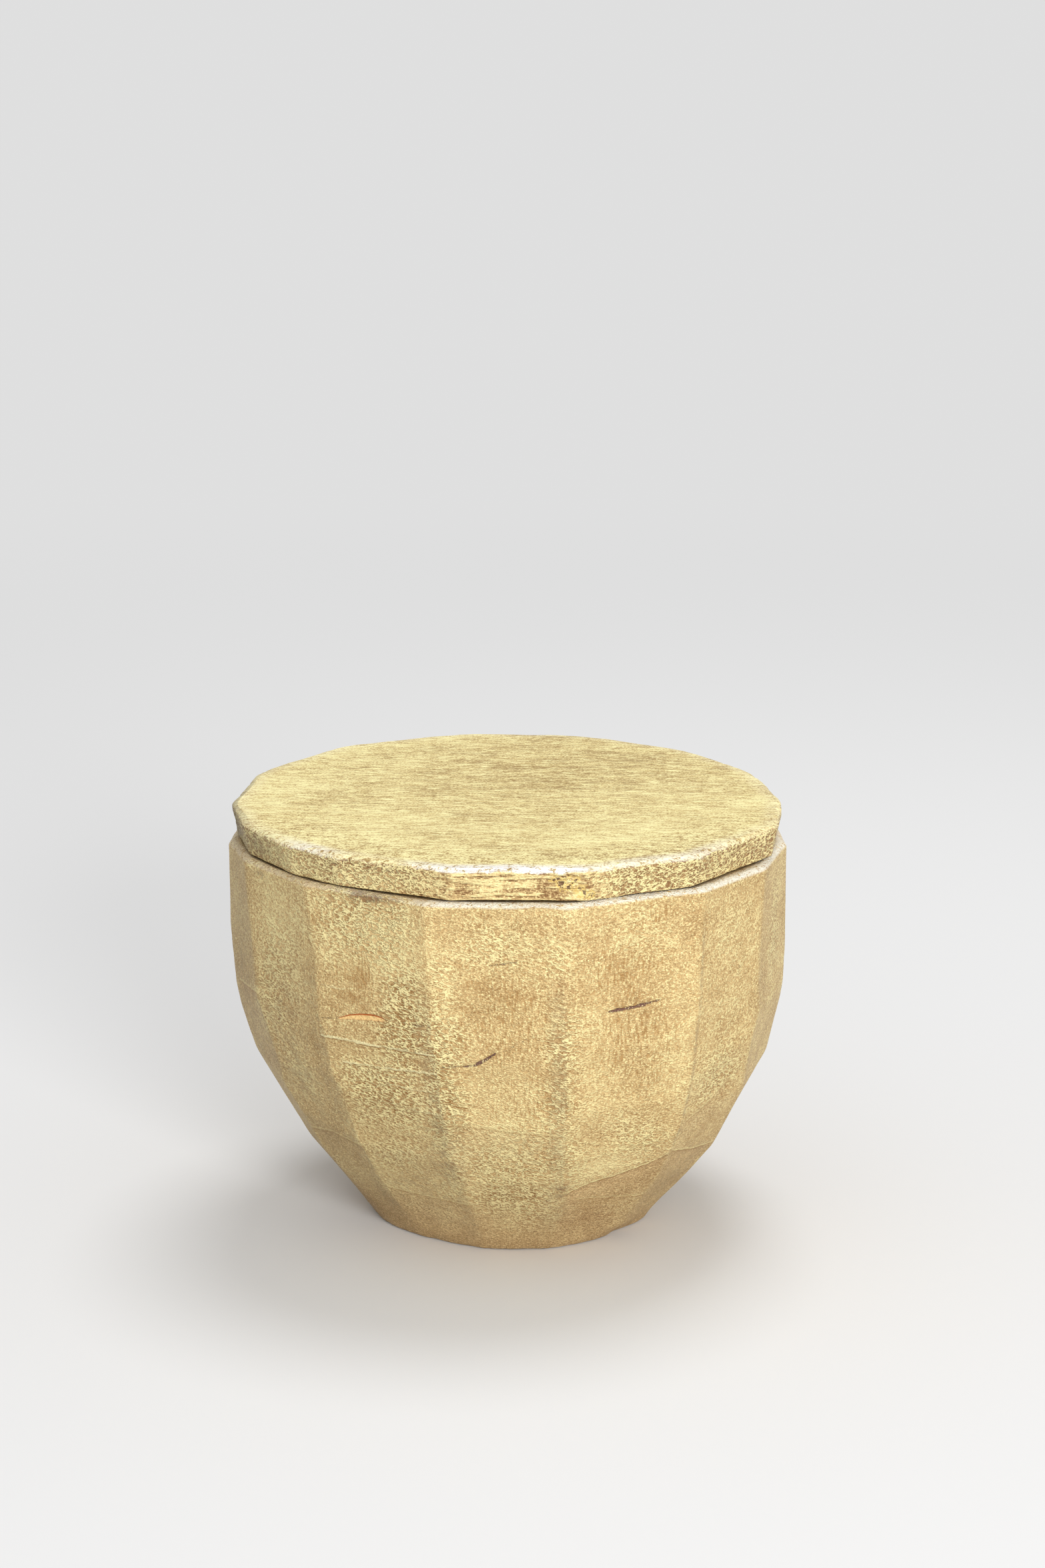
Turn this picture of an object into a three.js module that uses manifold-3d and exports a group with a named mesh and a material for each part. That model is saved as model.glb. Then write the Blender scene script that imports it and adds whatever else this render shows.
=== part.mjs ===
// A small hand-carved wooden pot with a loose flat lid, both painted gold.
// Bowl: one block, hollowed round, its outside pared into fourteen long facets down to a small foot.
// Lid: one board with a pared many-sided edge, and a round spigot below that drops into the mouth.
// Millimetres, +Z up. The origin is the middle of the foot, on the surface that the pot stands on.
// A bearing is an angle seen from above, in degrees from the front (-Y) and positive to the right.

import * as THREE from 'three';
import { mergeVertices } from 'three/addons/utils/BufferGeometryUtils.js';
import Module from 'manifold-3d';

const wasm = await Module();
wasm.setup();

// Bowl, outside
const rimRadius = 49.5;
const rimHeight = 69.65;
const footRadius = 25.2;
const bellyHeight = 56;
const bellySwell = 0.2;
const leftFullness = 2.3;
const rightFullness = 2.75;
const footFlare = 1.2;
const rimBevelWidth = 1.3;
const rimBevelDrop = 0.9;

// Each edge between two facets: its bearing at the rim, half way down and at the foot, and how far
// it stands out beyond the rim radius. The paring was done by eye, so no two facets are alike.
const facetEdges = [
  { atRim: -80, atMiddle: -79, atFoot: -80, standsOut: 0 },
  { atRim: -65.5, atMiddle: -59.5, atFoot: -59, standsOut: -0.2 },
  { atRim: -43.5, atMiddle: -38.2, atFoot: -37.5, standsOut: -0.8 },
  { atRim: -15, atMiddle: -12.6, atFoot: -8.3, standsOut: -0.2 },
  { atRim: 12.5, atMiddle: 12.7, atFoot: 17.5, standsOut: 0.5 },
  { atRim: 41.8, atMiddle: 40.2, atFoot: 45, standsOut: 1.2 },
  { atRim: 61.5, atMiddle: 61, atFoot: 69, standsOut: 0.9 },
  { atRim: 81, atMiddle: 83, atFoot: 90, standsOut: -0.1 },
  { atRim: 109, atMiddle: 111, atFoot: 116, standsOut: -0.2 },
  { atRim: 138, atMiddle: 138, atFoot: 142, standsOut: 0.2 },
  { atRim: 167, atMiddle: 169, atFoot: 170, standsOut: -0.1 },
  { atRim: 194, atMiddle: 197, atFoot: 198, standsOut: 0.3 },
  { atRim: 222, atMiddle: 224, atFoot: 226, standsOut: 0 },
  { atRim: 252, atMiddle: 253, atFoot: 253, standsOut: 0.1 },
];

// Heights at which the knife strokes down the outside meet, as shares of the belly height. The
// strokes are short near the foot, where the curve is tight, and long above.
const strokeMeetings = [0.07, 0.19, 0.31, 0.43, 0.53, 0.65, 0.78, 0.9];

// Bowl, inside
const mouthRadius = 41.4;
const mouthDepth = 8;
const floorThickness = 9;
const floorRadius = 14;
const hollowFullness = 2.6;
const hollowFlare = 1;
const hollowRings = 10;

// Lid
const lidRadius = 49;
const lidThickness = 5.6;
const lidSeatGap = 0.3;
const lidBevelWidth = 1;
const lidBevelDrop = 0.5;
const lidUndercut = 0.9;
const spigotDepth = 4.5;
const spigotClearance = 0.8;
const spigotBevel = 0.6;

// Each corner of the lid's pared edge: its bearing, and how far it stands out beyond the lid radius.
const lidCorners = [
  { bearing: -112, standsOut: 0.4 },
  { bearing: -85, standsOut: -0.2 },
  { bearing: -66, standsOut: 0 },
  { bearing: -48.5, standsOut: -0.1 },
  { bearing: -35, standsOut: -0.5 },
  { bearing: -10, standsOut: 0.2 },
  { bearing: 16.5, standsOut: 1.1 },
  { bearing: 39.5, standsOut: 1.5 },
  { bearing: 67.5, standsOut: 1.3 },
  { bearing: 88, standsOut: -0.7 },
  { bearing: 114, standsOut: -0.6 },
  { bearing: 140, standsOut: 0 },
  { bearing: 164, standsOut: 0.9 },
  { bearing: 190, standsOut: 1.5 },
  { bearing: 220, standsOut: 1.4 },
];

// Flat sides round the turned hollow and spigot
const roundSides = 56;

const radians = (degrees) => THREE.MathUtils.degToRad(degrees);

// A point at a bearing, a radius and a height.
function placeAt(bearing, radius, height) {
  return new THREE.Vector3(
    radius * Math.sin(radians(bearing)),
    -radius * Math.cos(radians(bearing)),
    height,
  );
}

// The radius of a bellied wall at a height: it leaves the low radius on a slant and comes upright
// at the high one, as low + (high - low) * (1 - (1 - share of the climb) ^ fullness) ^ flare.
function belliedRadius(height, low, high, fullness, flare) {
  const climb = THREE.MathUtils.clamp((height - low.height) / (high.height - low.height), 0, 1);
  return low.radius + (high.radius - low.radius) * (1 - (1 - climb) ** fullness) ** flare;
}

// The bearing of a facet edge at a share of the way up from foot to rim: the parabola through its
// three bearings.
function edgeBearing({ atRim, atMiddle, atFoot }, share) {
  const below = atFoot * (1 - share) * (1 - 2 * share);
  const between = atMiddle * 4 * share * (1 - share);
  const above = atRim * share * (2 * share - 1);
  return below + between + above;
}

// A closed solid lofted through rings of points, from the lowest ring up, each running
// anticlockwise as seen from above, with a fan of triangles closing each end.
function loftedSolid(rings) {
  const sides = rings[0].length;
  const points = rings.flat();
  const middles = [rings[0], rings[rings.length - 1]].map((ring) => {
    const middle = new THREE.Vector3();
    ring.forEach((point) => middle.add(point));
    return middle.divideScalar(sides);
  });
  const lowMiddle = points.length;
  const highMiddle = lowMiddle + 1;
  const highRing = (rings.length - 1) * sides;
  const triangles = [];
  for (let side = 0; side < sides; side += 1) {
    const next = (side + 1) % sides;
    for (let ring = 0; ring < rings.length - 1; ring += 1) {
      const below = ring * sides;
      const above = below + sides;
      triangles.push(below + side, below + next, above + next);
      triangles.push(below + side, above + next, above + side);
    }
    triangles.push(lowMiddle, next, side);
    triangles.push(highMiddle, highRing + side, highRing + next);
  }
  const geometry = new THREE.BufferGeometry().setFromPoints([...points, ...middles]);
  geometry.setIndex(triangles);
  return geometry;
}

// A closed solid turned about +Z from an outline of radius and height pairs that starts on the
// axis at its lowest point and ends on the axis at its highest.
function turnedSolid(outline) {
  const profile = outline.map(([radius, height]) => new THREE.Vector2(radius, height));
  return new THREE.LatheGeometry(profile, roundSides).rotateX(Math.PI / 2);
}

// A closed three.js geometry as a solid that can be joined and cut.
function solidFrom(geometry) {
  const bare = geometry.clone();
  bare.deleteAttribute('normal');
  bare.deleteAttribute('uv');
  const merged = mergeVertices(bare);
  return new wasm.Manifold(new wasm.Mesh({
    numProp: 3,
    vertProperties: new Float32Array(merged.attributes.position.array),
    triVerts: new Uint32Array(merged.index.array),
  }));
}

// A joined or cut solid back as a three.js geometry.
function geometryFrom(solid) {
  const { vertProperties, triVerts } = solid.getMesh();
  const geometry = new THREE.BufferGeometry();
  geometry.setAttribute('position', new THREE.BufferAttribute(vertProperties, 3));
  geometry.setIndex(new THREE.BufferAttribute(triVerts, 1));
  geometry.computeVertexNormals();
  return geometry;
}

// The ring of facet edges at a height, drawn in by an inset, as at the bevel round the rim.
function facetRing(height, inset = 0) {
  return facetEdges.map((edge) => {
    const bearing = edgeBearing(edge, height / rimHeight);
    const toTheRight = (1 + Math.sin(radians(bearing))) / 2;
    const fullness = THREE.MathUtils.lerp(leftFullness, rightFullness, toTheRight);
    const foot = { height: 0, radius: footRadius + edge.standsOut };
    const belly = { height: bellyHeight, radius: rimRadius + edge.standsOut + bellySwell };
    const aboveBelly = Math.max(height - bellyHeight, 0) / (rimHeight - bellyHeight);
    const outside = belliedRadius(height, foot, belly, fullness, footFlare);
    const radius = outside - bellySwell * aboveBelly;
    return placeAt(bearing, radius - inset, height);
  });
}

// The outside of the bowl before it is hollowed, bevelled round its rim.
function bowlBlock() {
  const heights = [0, ...strokeMeetings.map((share) => share * bellyHeight), bellyHeight];
  heights.push(rimHeight - rimBevelDrop);
  const rings = heights.map((height) => facetRing(height));
  rings.push(facetRing(rimHeight, rimBevelWidth));
  return solidFrom(loftedSolid(rings));
}

// The room inside the bowl, running past the rim so that it opens the mouth: an upright mouth for
// the lid's spigot, and below it a bellied hollow down to a small flat floor.
function bowlHollow() {
  const past = rimHeight + rimBevelDrop;
  const floor = { height: floorThickness, radius: floorRadius };
  const mouth = { height: rimHeight - mouthDepth, radius: mouthRadius };
  const outline = [[0, floor.height]];
  for (let ring = 0; ring <= hollowRings; ring += 1) {
    const height = THREE.MathUtils.lerp(floor.height, mouth.height, ring / hollowRings);
    outline.push([belliedRadius(height, floor, mouth, hollowFullness, hollowFlare), height]);
  }
  outline.push([mouthRadius, past], [0, past]);
  return solidFrom(turnedSolid(outline));
}

// The ring of the lid's corners at a height, drawn in by an inset.
function lidRing(height, inset) {
  return lidCorners.map(({ bearing, standsOut }) => (
    placeAt(bearing, lidRadius + standsOut - inset, height)
  ));
}

// The lid's board, a little undercut below and bevelled round its top.
function lidBoard() {
  const under = rimHeight + lidSeatGap;
  const top = under + lidThickness;
  return solidFrom(loftedSolid([
    lidRing(under, lidUndercut),
    lidRing(top - lidBevelDrop, 0),
    lidRing(top, lidBevelWidth),
  ]));
}

// The round spigot under the lid, reaching half way up into the board so that the two join.
function lidSpigot() {
  const under = rimHeight + lidSeatGap;
  const radius = mouthRadius - spigotClearance;
  const low = under - spigotDepth;
  const high = under + lidThickness / 2;
  return solidFrom(turnedSolid([
    [0, low],
    [radius - spigotBevel, low],
    [radius, low + spigotBevel],
    [radius, high],
    [0, high],
  ]));
}

// A mesh of one piece of the pot, under the piece's own name.
function namedPiece(name, solid, material) {
  const piece = new THREE.Mesh(geometryFrom(solid), material);
  piece.name = name;
  return piece;
}

const bowlPaint = new THREE.MeshStandardMaterial({ color: 0xb39b66, roughness: 0.55, metalness: 0.3 });
const lidPaint = new THREE.MeshStandardMaterial({ color: 0xbfae7c, roughness: 0.5, metalness: 0.3 });

const pot = new THREE.Group();
pot.add(
  namedPiece('bowl', bowlBlock().subtract(bowlHollow()), bowlPaint),
  namedPiece('lid', lidBoard().add(lidSpigot()), lidPaint),
);

export default pot;
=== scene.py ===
"""Looks of a small hand-carved wooden pot with a loose flat lid, both painted gold.

Lengths are in millimetres until a mesh, a lamp or a shader takes them in metres. +Z is up and the
front is -Y. A bearing is an angle seen from above, in degrees from the front and positive to the
right. A colour is three numbers from 0 to 255, as a screen shows it.
"""

import logging
import math
from dataclasses import dataclass
from enum import Enum, IntEnum

import bpy
import numpy as np
from mathutils import Matrix, Vector


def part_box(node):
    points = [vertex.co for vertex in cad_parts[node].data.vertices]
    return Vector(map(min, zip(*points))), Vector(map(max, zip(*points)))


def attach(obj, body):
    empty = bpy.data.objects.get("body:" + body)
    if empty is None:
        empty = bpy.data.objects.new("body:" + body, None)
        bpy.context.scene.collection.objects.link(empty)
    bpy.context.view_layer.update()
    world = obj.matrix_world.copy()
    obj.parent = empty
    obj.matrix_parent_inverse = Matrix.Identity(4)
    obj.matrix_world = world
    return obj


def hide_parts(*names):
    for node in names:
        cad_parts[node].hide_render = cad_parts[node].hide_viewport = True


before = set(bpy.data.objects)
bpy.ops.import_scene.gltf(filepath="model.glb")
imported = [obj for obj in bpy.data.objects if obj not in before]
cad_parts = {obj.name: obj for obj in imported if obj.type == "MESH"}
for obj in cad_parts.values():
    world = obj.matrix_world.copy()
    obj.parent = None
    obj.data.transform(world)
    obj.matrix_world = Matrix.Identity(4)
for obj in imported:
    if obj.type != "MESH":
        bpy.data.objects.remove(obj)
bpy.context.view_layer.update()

MM = 0.001
LOG = logging.getLogger("pot")

# A distance kept on the mesh where no mark, ledge or pit is near.
FAR = 9.0
# Marks and ledges are kept only this near to their middle lines.
NEAR = 1.5
# The radius given to a straight side in directions that it doesn't face.
NOWHERE = 1000.0
# How strongly grid columns are drawn towards the edges between facets.
COLUMN_DRAW = 0.4
# The radius of the circle on which the paint's flow coordinates go round.
FLOW_RADIUS = 45.0

Triple = tuple[float, float, float]
Socket = bpy.types.NodeSocket
Section = tuple[np.ndarray, np.ndarray, np.ndarray]


def eased(value: np.ndarray, low: float, high: float) -> np.ndarray:
    """A smooth step, 0 below low and 1 above high.

    Formula: t * t * (3 - 2 * t), where t is the share of the way from low to high.

    Args:
        value: the numbers to step.
        low: where the step starts.
        high: where the step ends.

    Returns:
        The stepped numbers, in the shape of value.
    """
    share = np.clip((value - low) / (high - low), 0.0, 1.0)
    return share * share * (3.0 - 2.0 * share)


def turn_from(middle: np.ndarray, bearing: np.ndarray) -> np.ndarray:
    """The turn from one bearing to another, from -180 to 180 degrees."""
    return (bearing - middle + 180.0) % 360.0 - 180.0


def facing(bearing: np.ndarray, middle: float, low: float, high: float) -> np.ndarray:
    """A smooth step on the cosine of the turn from a middle bearing, 1 near it and 0 far from it."""
    return eased(np.cos(np.radians(bearing - middle)), low, high)


def placed(bearing: np.ndarray, radius: np.ndarray, height: np.ndarray) -> np.ndarray:
    """Points at bearings, radii and heights.

    Formula: x is radius times the sine of the bearing, y is minus radius times its cosine.

    Args:
        bearing: degrees from the front.
        radius: distance from the pot's axis.
        height: height above the foot.

    Returns:
        The points, with x, y and z on the last axis.
    """
    angle = np.radians(bearing)
    parts = (radius * np.sin(angle), -radius * np.cos(angle), height)
    return np.stack(np.broadcast_arrays(*parts), axis=-1)


def line_between(first: np.ndarray, second: np.ndarray) -> tuple[np.ndarray, np.ndarray]:
    """The straight line between two points, as seen from above.

    Formula: the direction out is the step between the points, turned a quarter clockwise and
    made one long, and the distance is the first point's product with it.

    Args:
        first: the point on the left as seen from outside.
        second: the point on the right.

    Returns:
        The direction out, with x and y on the last axis, and the distance from the axis.
    """
    along = second - first
    out = np.stack([along[..., 1], -along[..., 0]], axis=-1)
    out = out / np.linalg.norm(out, axis=-1, keepdims=True)
    return out, (first[..., :2] * out).sum(axis=-1)


def side_radius(bearing: np.ndarray, out: np.ndarray, distance: np.ndarray) -> np.ndarray:
    """The radius of a straight side: its distance over the cosine of the turn from its middle.

    Args:
        bearing: where the radius is wanted.
        out: the side's direction out.
        distance: its distance from the axis.

    Returns:
        The radius at each bearing, and NOWHERE more than 60 degrees from the middle.
    """
    cosine = (placed(bearing, 1.0, 0.0)[..., :2] * out).sum(axis=-1)
    return np.where(cosine > 0.5, distance / np.maximum(cosine, 0.5), NOWHERE)


def soft_least(radii: list[np.ndarray], softness: np.ndarray) -> np.ndarray:
    """The least of several radii, rounded off where two of them are nearly equal.

    Formula: minus softness times the logarithm of the sum of exp(-radius / softness).

    Args:
        radii: the radii of several sides.
        softness: how far from equal two radii still blend.

    Returns:
        The blended least radii.
    """
    stacked = np.array(radii)
    least = stacked.min(axis=0)
    return least - softness * np.log(np.exp((least - stacked) / softness).sum(axis=0))


def spaced(start: float, end: float, step: float) -> np.ndarray:
    """Numbers from start towards end, which is left out, about a step apart."""
    count = max(int(round(abs(end - start) / step)), 1)
    return np.linspace(start, end, count, endpoint=False)


def column(*numbers: float) -> np.ndarray:
    """Numbers as one column of rows."""
    return np.array(numbers)[:, None]


def drawn_columns(count: int) -> np.ndarray:
    """Shares from 0 to below 1, closer at both ends: x - draw * sin(2 * pi * x) / (2 * pi)."""
    even = np.arange(count) / count
    return even - COLUMN_DRAW * np.sin(2 * math.pi * even) / (2 * math.pi)


def quarter(count: int, fullness: float = 1.0) -> tuple[np.ndarray, np.ndarray]:
    """Shares of the way round a rounded corner, from its start to just before its end.

    Formula: the first is 1 - cos(turn) ^ fullness and the second sin(turn) ^ fullness, as the turn
    goes through a quarter circle.

    Args:
        count: how many places.
        fullness: 1 for an ellipse, and more for a flatter bevel.

    Returns:
        How far the corner has come in, and how far it has come along, as columns.
    """
    turn = np.linspace(0.0, math.pi / 2, count, endpoint=False)[:, None]
    return 1.0 - np.cos(turn) ** fullness, np.sin(turn) ** fullness


@dataclass(frozen=True)
class Unevenness:
    """Smooth noise in space, from seeded random values at the corners of a cubic lattice."""

    seed: int

    def corner_values(self, corners: np.ndarray) -> np.ndarray:
        """Random values from -1 to 1 at lattice corners.

        Formula: the corner's whole numbers are multiplied by large primes and joined by
        exclusive-or with the seed, and the result is mixed by shifts and multiplications.

        Args:
            corners: whole numbers, with x, y and z on the last axis.

        Returns:
            One value for each corner.
        """
        primes = np.array([73856093, 19349663, 83492791], dtype=np.int64)
        parts = corners.astype(np.int64) * primes
        mixed = parts[..., 0] ^ parts[..., 1] ^ parts[..., 2] ^ np.int64(self.seed * 7919)
        mixed = mixed.astype(np.uint64)
        for _ in range(2):
            mixed ^= mixed >> np.uint64(33)
            mixed *= np.uint64(0xFF51AFD7ED558CCD)
        mixed ^= mixed >> np.uint64(33)
        return (mixed >> np.uint64(40)).astype(float) / float(1 << 23) - 1.0

    def at(self, points: np.ndarray, size: float) -> np.ndarray:
        """Noise from -1 to 1 at points.

        Formula: the values of the eight corners round a point, blended by the product of
        t * t * (3 - 2 * t) or its rest along each axis.

        Args:
            points: places, with x, y and z on the last axis.
            size: side of a lattice cell.

        Returns:
            One value for each point.
        """
        cell = np.floor(points / size)
        share = eased(points / size - cell, 0.0, 1.0)
        total = np.zeros(points.shape[:-1])
        for step in np.ndindex(2, 2, 2):
            weight = np.where(np.array(step) == 1, share, 1.0 - share).prod(axis=-1)
            total += weight * self.corner_values(cell + np.array(step))
        return total

    def layered(self, points: np.ndarray, size: float, layers: int = 3) -> np.ndarray:
        """Noise with finer noise on it, each layer half the size and half the height."""
        parts = [self.at(points + 17.0 * n, size / 2**n) / 2**n for n in range(layers)]
        return np.sum(parts, axis=0)

    def waved(self, points: np.ndarray, waves: tuple[Triple, ...]) -> np.ndarray:
        """The sum of several noises, each given by its depth, its size and its shift in space."""
        return sum(depth * self.at(points + shift, size) for depth, size, shift in waves)


class MarkKind(Enum):
    """What a long thin mark on the wood is."""

    CHECK = "check"
    SLIVER = "sliver"
    RIDGE = "ridge"


@dataclass(frozen=True)
class Mark:
    """A long thin mark that runs across the outside.

    Attributes:
        depth: how far it is sunk, or how far it stands out if it is below zero.
        path: bearing, height and half width at points along it, from left to right.
    """

    depth: float
    path: tuple[Triple, ...]

    def side_and_half(self, bearing: np.ndarray, height: np.ndarray) -> tuple[np.ndarray, np.ndarray]:
        """How far points lie above the mark's middle line, and its half width at their bearing.

        Args:
            bearing: the points' bearings.
            height: the points' heights.

        Returns:
            The distances above the line, and the half widths, which are -1 away from the mark.
        """
        along, line, half = np.array(self.path).T
        side = height - np.interp(bearing, along, line)
        width = np.interp(bearing, along, half, left=-1.0, right=-1.0)
        return side, np.where(np.abs(side) < NEAR, width, -1.0)


@dataclass(frozen=True)
class Ledge:
    """A shoulder across a facet, where a knife stroke ended and the wood below is cut deeper.

    Attributes:
        depth: how much deeper the wood just below it is cut.
        path: bearing and height at points along it, from left to right.
    """

    depth: float
    path: tuple[tuple[float, float], ...]

    def side_and_weight(self, bearing: np.ndarray, height: np.ndarray) -> tuple[np.ndarray, np.ndarray]:
        """How far points lie above the ledge, and how much of the ledge there is at their bearing.

        Args:
            bearing: the points' bearings.
            height: the points' heights.

        Returns:
            The distances above the ledge, and its depth, which eases to nothing past its ends.
        """
        along, line = np.array(self.path, dtype=float).T
        side = height - np.interp(bearing, along, line)
        start = eased(bearing, along[0] - 1.0, along[0] + 1.5)
        end = 1.0 - eased(bearing, along[-1] - 1.5, along[-1] + 1.0)
        return side, self.depth * start * end


class PatchKind(Enum):
    """What a patch of the paint shows."""

    THIN = "thin"
    WRINKLED = "wrinkled"
    STAINED = "stained"
    SCRATCHED = "scratched"
    # Greyer paint: tarnishing in places, and painted shade on the left and low down.
    TARNISHED = "tarnished"
    PALE = "pale"
    SWEPT = "swept"


@dataclass(frozen=True)
class Patch:
    """A soft-edged oval patch on the outside: where it is, its half sizes and its strength."""

    bearing: float
    height: float
    wide: float
    high: float
    strength: float

    def strength_at(self, points: np.ndarray, bearing: np.ndarray) -> np.ndarray:
        """The patch's strength at points, strength * exp(-(across / wide)^2 - (up / high)^2).

        Args:
            points: places, with x, y and z on the last axis.
            bearing: the points' bearings.

        Returns:
            One strength for each point.
        """
        radius = np.hypot(points[..., 0], points[..., 1])
        across = radius * np.radians(turn_from(self.bearing, bearing)) / self.wide
        up = (points[..., 2] - self.height) / self.high
        return self.strength * np.exp(-(across**2) - up**2)


PatchTable = dict[PatchKind, tuple[tuple[float, ...], ...]]


class Surface:
    """A closed surface on a grid of points, with a middle point at each end.

    Each row runs anticlockwise as seen from above, and the rows run so that the faces look out.

    Attributes:
        name: the piece's name.
        bearing: the bearing of each point of the grid.
        points: the grid, with rows, columns and x, y and z on its axes, in millimetres.
        part: the number of the section that each point is in.
        starts: the first row of each section.
        values: numbers or vectors kept for the paint at each point of the grid, by name.
    """

    def __init__(self, name: str, sections: list[Section]) -> None:
        """Joins sections of rows into one grid.

        Args:
            name: the piece's name.
            sections: bearings, radii and heights of runs of rows, which broadcast together.
        """
        full = [np.broadcast_arrays(*section) for section in sections]
        counts = [len(section[0]) for section in full]
        number = np.repeat(np.arange(len(counts)), counts)[:, None]
        grids = [np.concatenate(grid) for grid in zip(*full)]
        self.name = name
        self.bearing = grids[0]
        self.points = placed(*grids)
        self.part = np.broadcast_to(number, self.bearing.shape)
        self.starts = np.cumsum([0, *counts])
        self.values: dict[str, np.ndarray] = {}

    def within(self, *parts: int) -> np.ndarray:
        """Whether each point is in one of some sections."""
        return np.isin(self.part, parts)

    def rows_past(self, part: int) -> np.ndarray:
        """How many rows each point lies past the first row of a section."""
        rows = np.arange(len(self.points))[:, None] - self.starts[part]
        return np.broadcast_to(rows, self.bearing.shape)

    def radius(self) -> np.ndarray:
        """Each point's distance from the pot's axis."""
        return np.hypot(self.points[..., 0], self.points[..., 1])

    def flow(self, slant: float) -> np.ndarray:
        """Coordinates that follow the surface: round it, and along it from its lowest row.

        Formula: the first two are the flow radius times the sine and cosine of the bearing. The
        third adds up the mean distance between the rows, and the slant times the first.

        Args:
            slant: how steeply the third coordinate's level lines fall to the right in front.

        Returns:
            Three coordinates for each point, in millimetres.
        """
        steps = np.linalg.norm(np.diff(self.points, axis=0), axis=-1).mean(axis=1)
        along = np.concatenate([[0.0], np.cumsum(steps)])[:, None]
        across = FLOW_RADIUS * np.sin(np.radians(self.bearing))
        back = FLOW_RADIUS * np.cos(np.radians(self.bearing))
        return np.stack(np.broadcast_arrays(across, back, along + slant * across), axis=-1)

    def keep_patches(self, table: PatchTable, parts: tuple[int, ...]) -> None:
        """Keeps the strongest patch of each kind at each point of some sections, and 0 elsewhere."""
        for kind, rows in table.items():
            strengths = [Patch(*row).strength_at(self.points, self.bearing) for row in rows]
            self.values[kind.value] = np.where(self.within(*parts), np.max(strengths, axis=0), 0.0)

    def raise_by(self, amount: np.ndarray) -> None:
        """Moves every point out by an amount.

        Formula: the way out is the cross product of the steps along and up the grid, made one long.

        Args:
            amount: how far out each point goes, in millimetres.
        """
        along = np.roll(self.points, -1, axis=1) - np.roll(self.points, 1, axis=1)
        normal = np.cross(along, np.gradient(self.points, axis=0))
        length = np.linalg.norm(normal, axis=-1, keepdims=True)
        self.points = self.points + normal / np.maximum(length, 1e-9) * amount[..., None]

    def faces(self) -> list[tuple[int, ...]]:
        """The faces: a quad between neighbours in each two rows, and a fan at each end.

        Returns:
            The corner numbers of each face, anticlockwise as seen from outside.
        """
        rows, columns = self.points.shape[:2]
        here = np.arange(rows * columns).reshape(rows, columns)
        after = np.roll(here, -1, axis=1)
        quads = np.stack([here[:-1], after[:-1], after[1:], here[1:]], axis=-1).reshape(-1, 4)
        middle = np.full(columns, rows * columns)
        low = np.stack([middle, after[0], here[0]], axis=-1)
        high = np.stack([middle + 1, here[-1], after[-1]], axis=-1)
        return quads.tolist() + low.tolist() + high.tolist()

    def with_ends(self, grid: np.ndarray) -> np.ndarray:
        """A grid's values in the order of the mesh's points, the middles of both ends last."""
        width = grid.shape[2:]
        ends = np.stack([grid[0].mean(axis=0), grid[-1].mean(axis=0)])
        return np.concatenate([grid.reshape(-1, *width), ends.reshape(-1, *width)])

    def to_object(self) -> bpy.types.Object:
        """The surface as a Blender object at the origin, with its values as attributes.

        Returns:
            The new object, linked to the scene.
        """
        mesh = bpy.data.meshes.new(self.name)
        mesh.from_pydata(self.with_ends(self.points) * MM, [], self.faces())
        for name, grid in self.values.items():
            kind, slot = ("FLOAT_VECTOR", "vector") if grid.ndim == 3 else ("FLOAT", "value")
            attribute = mesh.attributes.new(name, kind, "POINT")
            attribute.data.foreach_set(slot, self.with_ends(grid).astype(np.float32).ravel())
        mesh.polygons.foreach_set("use_smooth", np.ones(len(mesh.polygons), dtype=bool))
        mesh.update()
        piece = bpy.data.objects.new(self.name, mesh)
        bpy.context.scene.collection.objects.link(piece)
        return piece


@dataclass(frozen=True)
class Strip:
    """A strip of greyer paint along a facet edge, partly tarnishing and partly painted shade.

    Attributes:
        strength: how grey it is, from 0 to 1.
        left: where it starts, to the right of the edge. It is crisp where this is near 0.
        right: where it ends, to the right of the edge. It is crisp where this is near 0.
        low: the height where it starts.
        high: the height where it ends.
    """

    strength: float = 0.2
    left: float = -1.2
    right: float = 1.2
    low: float = 16.0
    high: float = 54.0

    def strength_at(self, distance: np.ndarray, height: np.ndarray) -> np.ndarray:
        """How grey the strip makes points: smooth steps up and down across it and along it.

        Args:
            distance: how far the points lie to the right of the edge.
            height: the points' heights.

        Returns:
            One strength for each point.
        """
        strength = self.strength
        sides = ((distance, self.left, self.right, 0.4, 0.12), (height, self.low, self.high, 0.0, 4.0))
        for value, start, end, growth, least in sides:
            soft_start = least + growth * abs(start)
            soft_end = least + growth * abs(end)
            strength = strength * eased(value, start - soft_start, start + soft_start)
            strength = strength * (1.0 - eased(value, end - soft_end, end + soft_end))
        return strength


@dataclass(frozen=True)
class FacetEdge:
    """An edge between two facets of the bowl.

    Attributes:
        at_rim: its bearing at the rim.
        at_middle: its bearing half way down.
        at_foot: its bearing at the foot.
        stands_out: how far it stands out beyond the rim radius.
        columns: grid columns on the facet to its right.
        softness: how rounded it is.
        strip: the greyer strip along it, partly tarnishing and partly painted shade.
    """

    at_rim: float
    at_middle: float
    at_foot: float
    stands_out: float
    columns: int
    softness: float = 0.1
    strip: Strip = Strip()

    def bearing(self, share: np.ndarray) -> np.ndarray:
        """The bearing at a share of the way up: the parabola through the edge's three bearings."""
        below = self.at_foot * (1 - share) * (1 - 2 * share)
        between = self.at_middle * 4 * share * (1 - share)
        return below + between + self.at_rim * share * (2 * share - 1)


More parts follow.
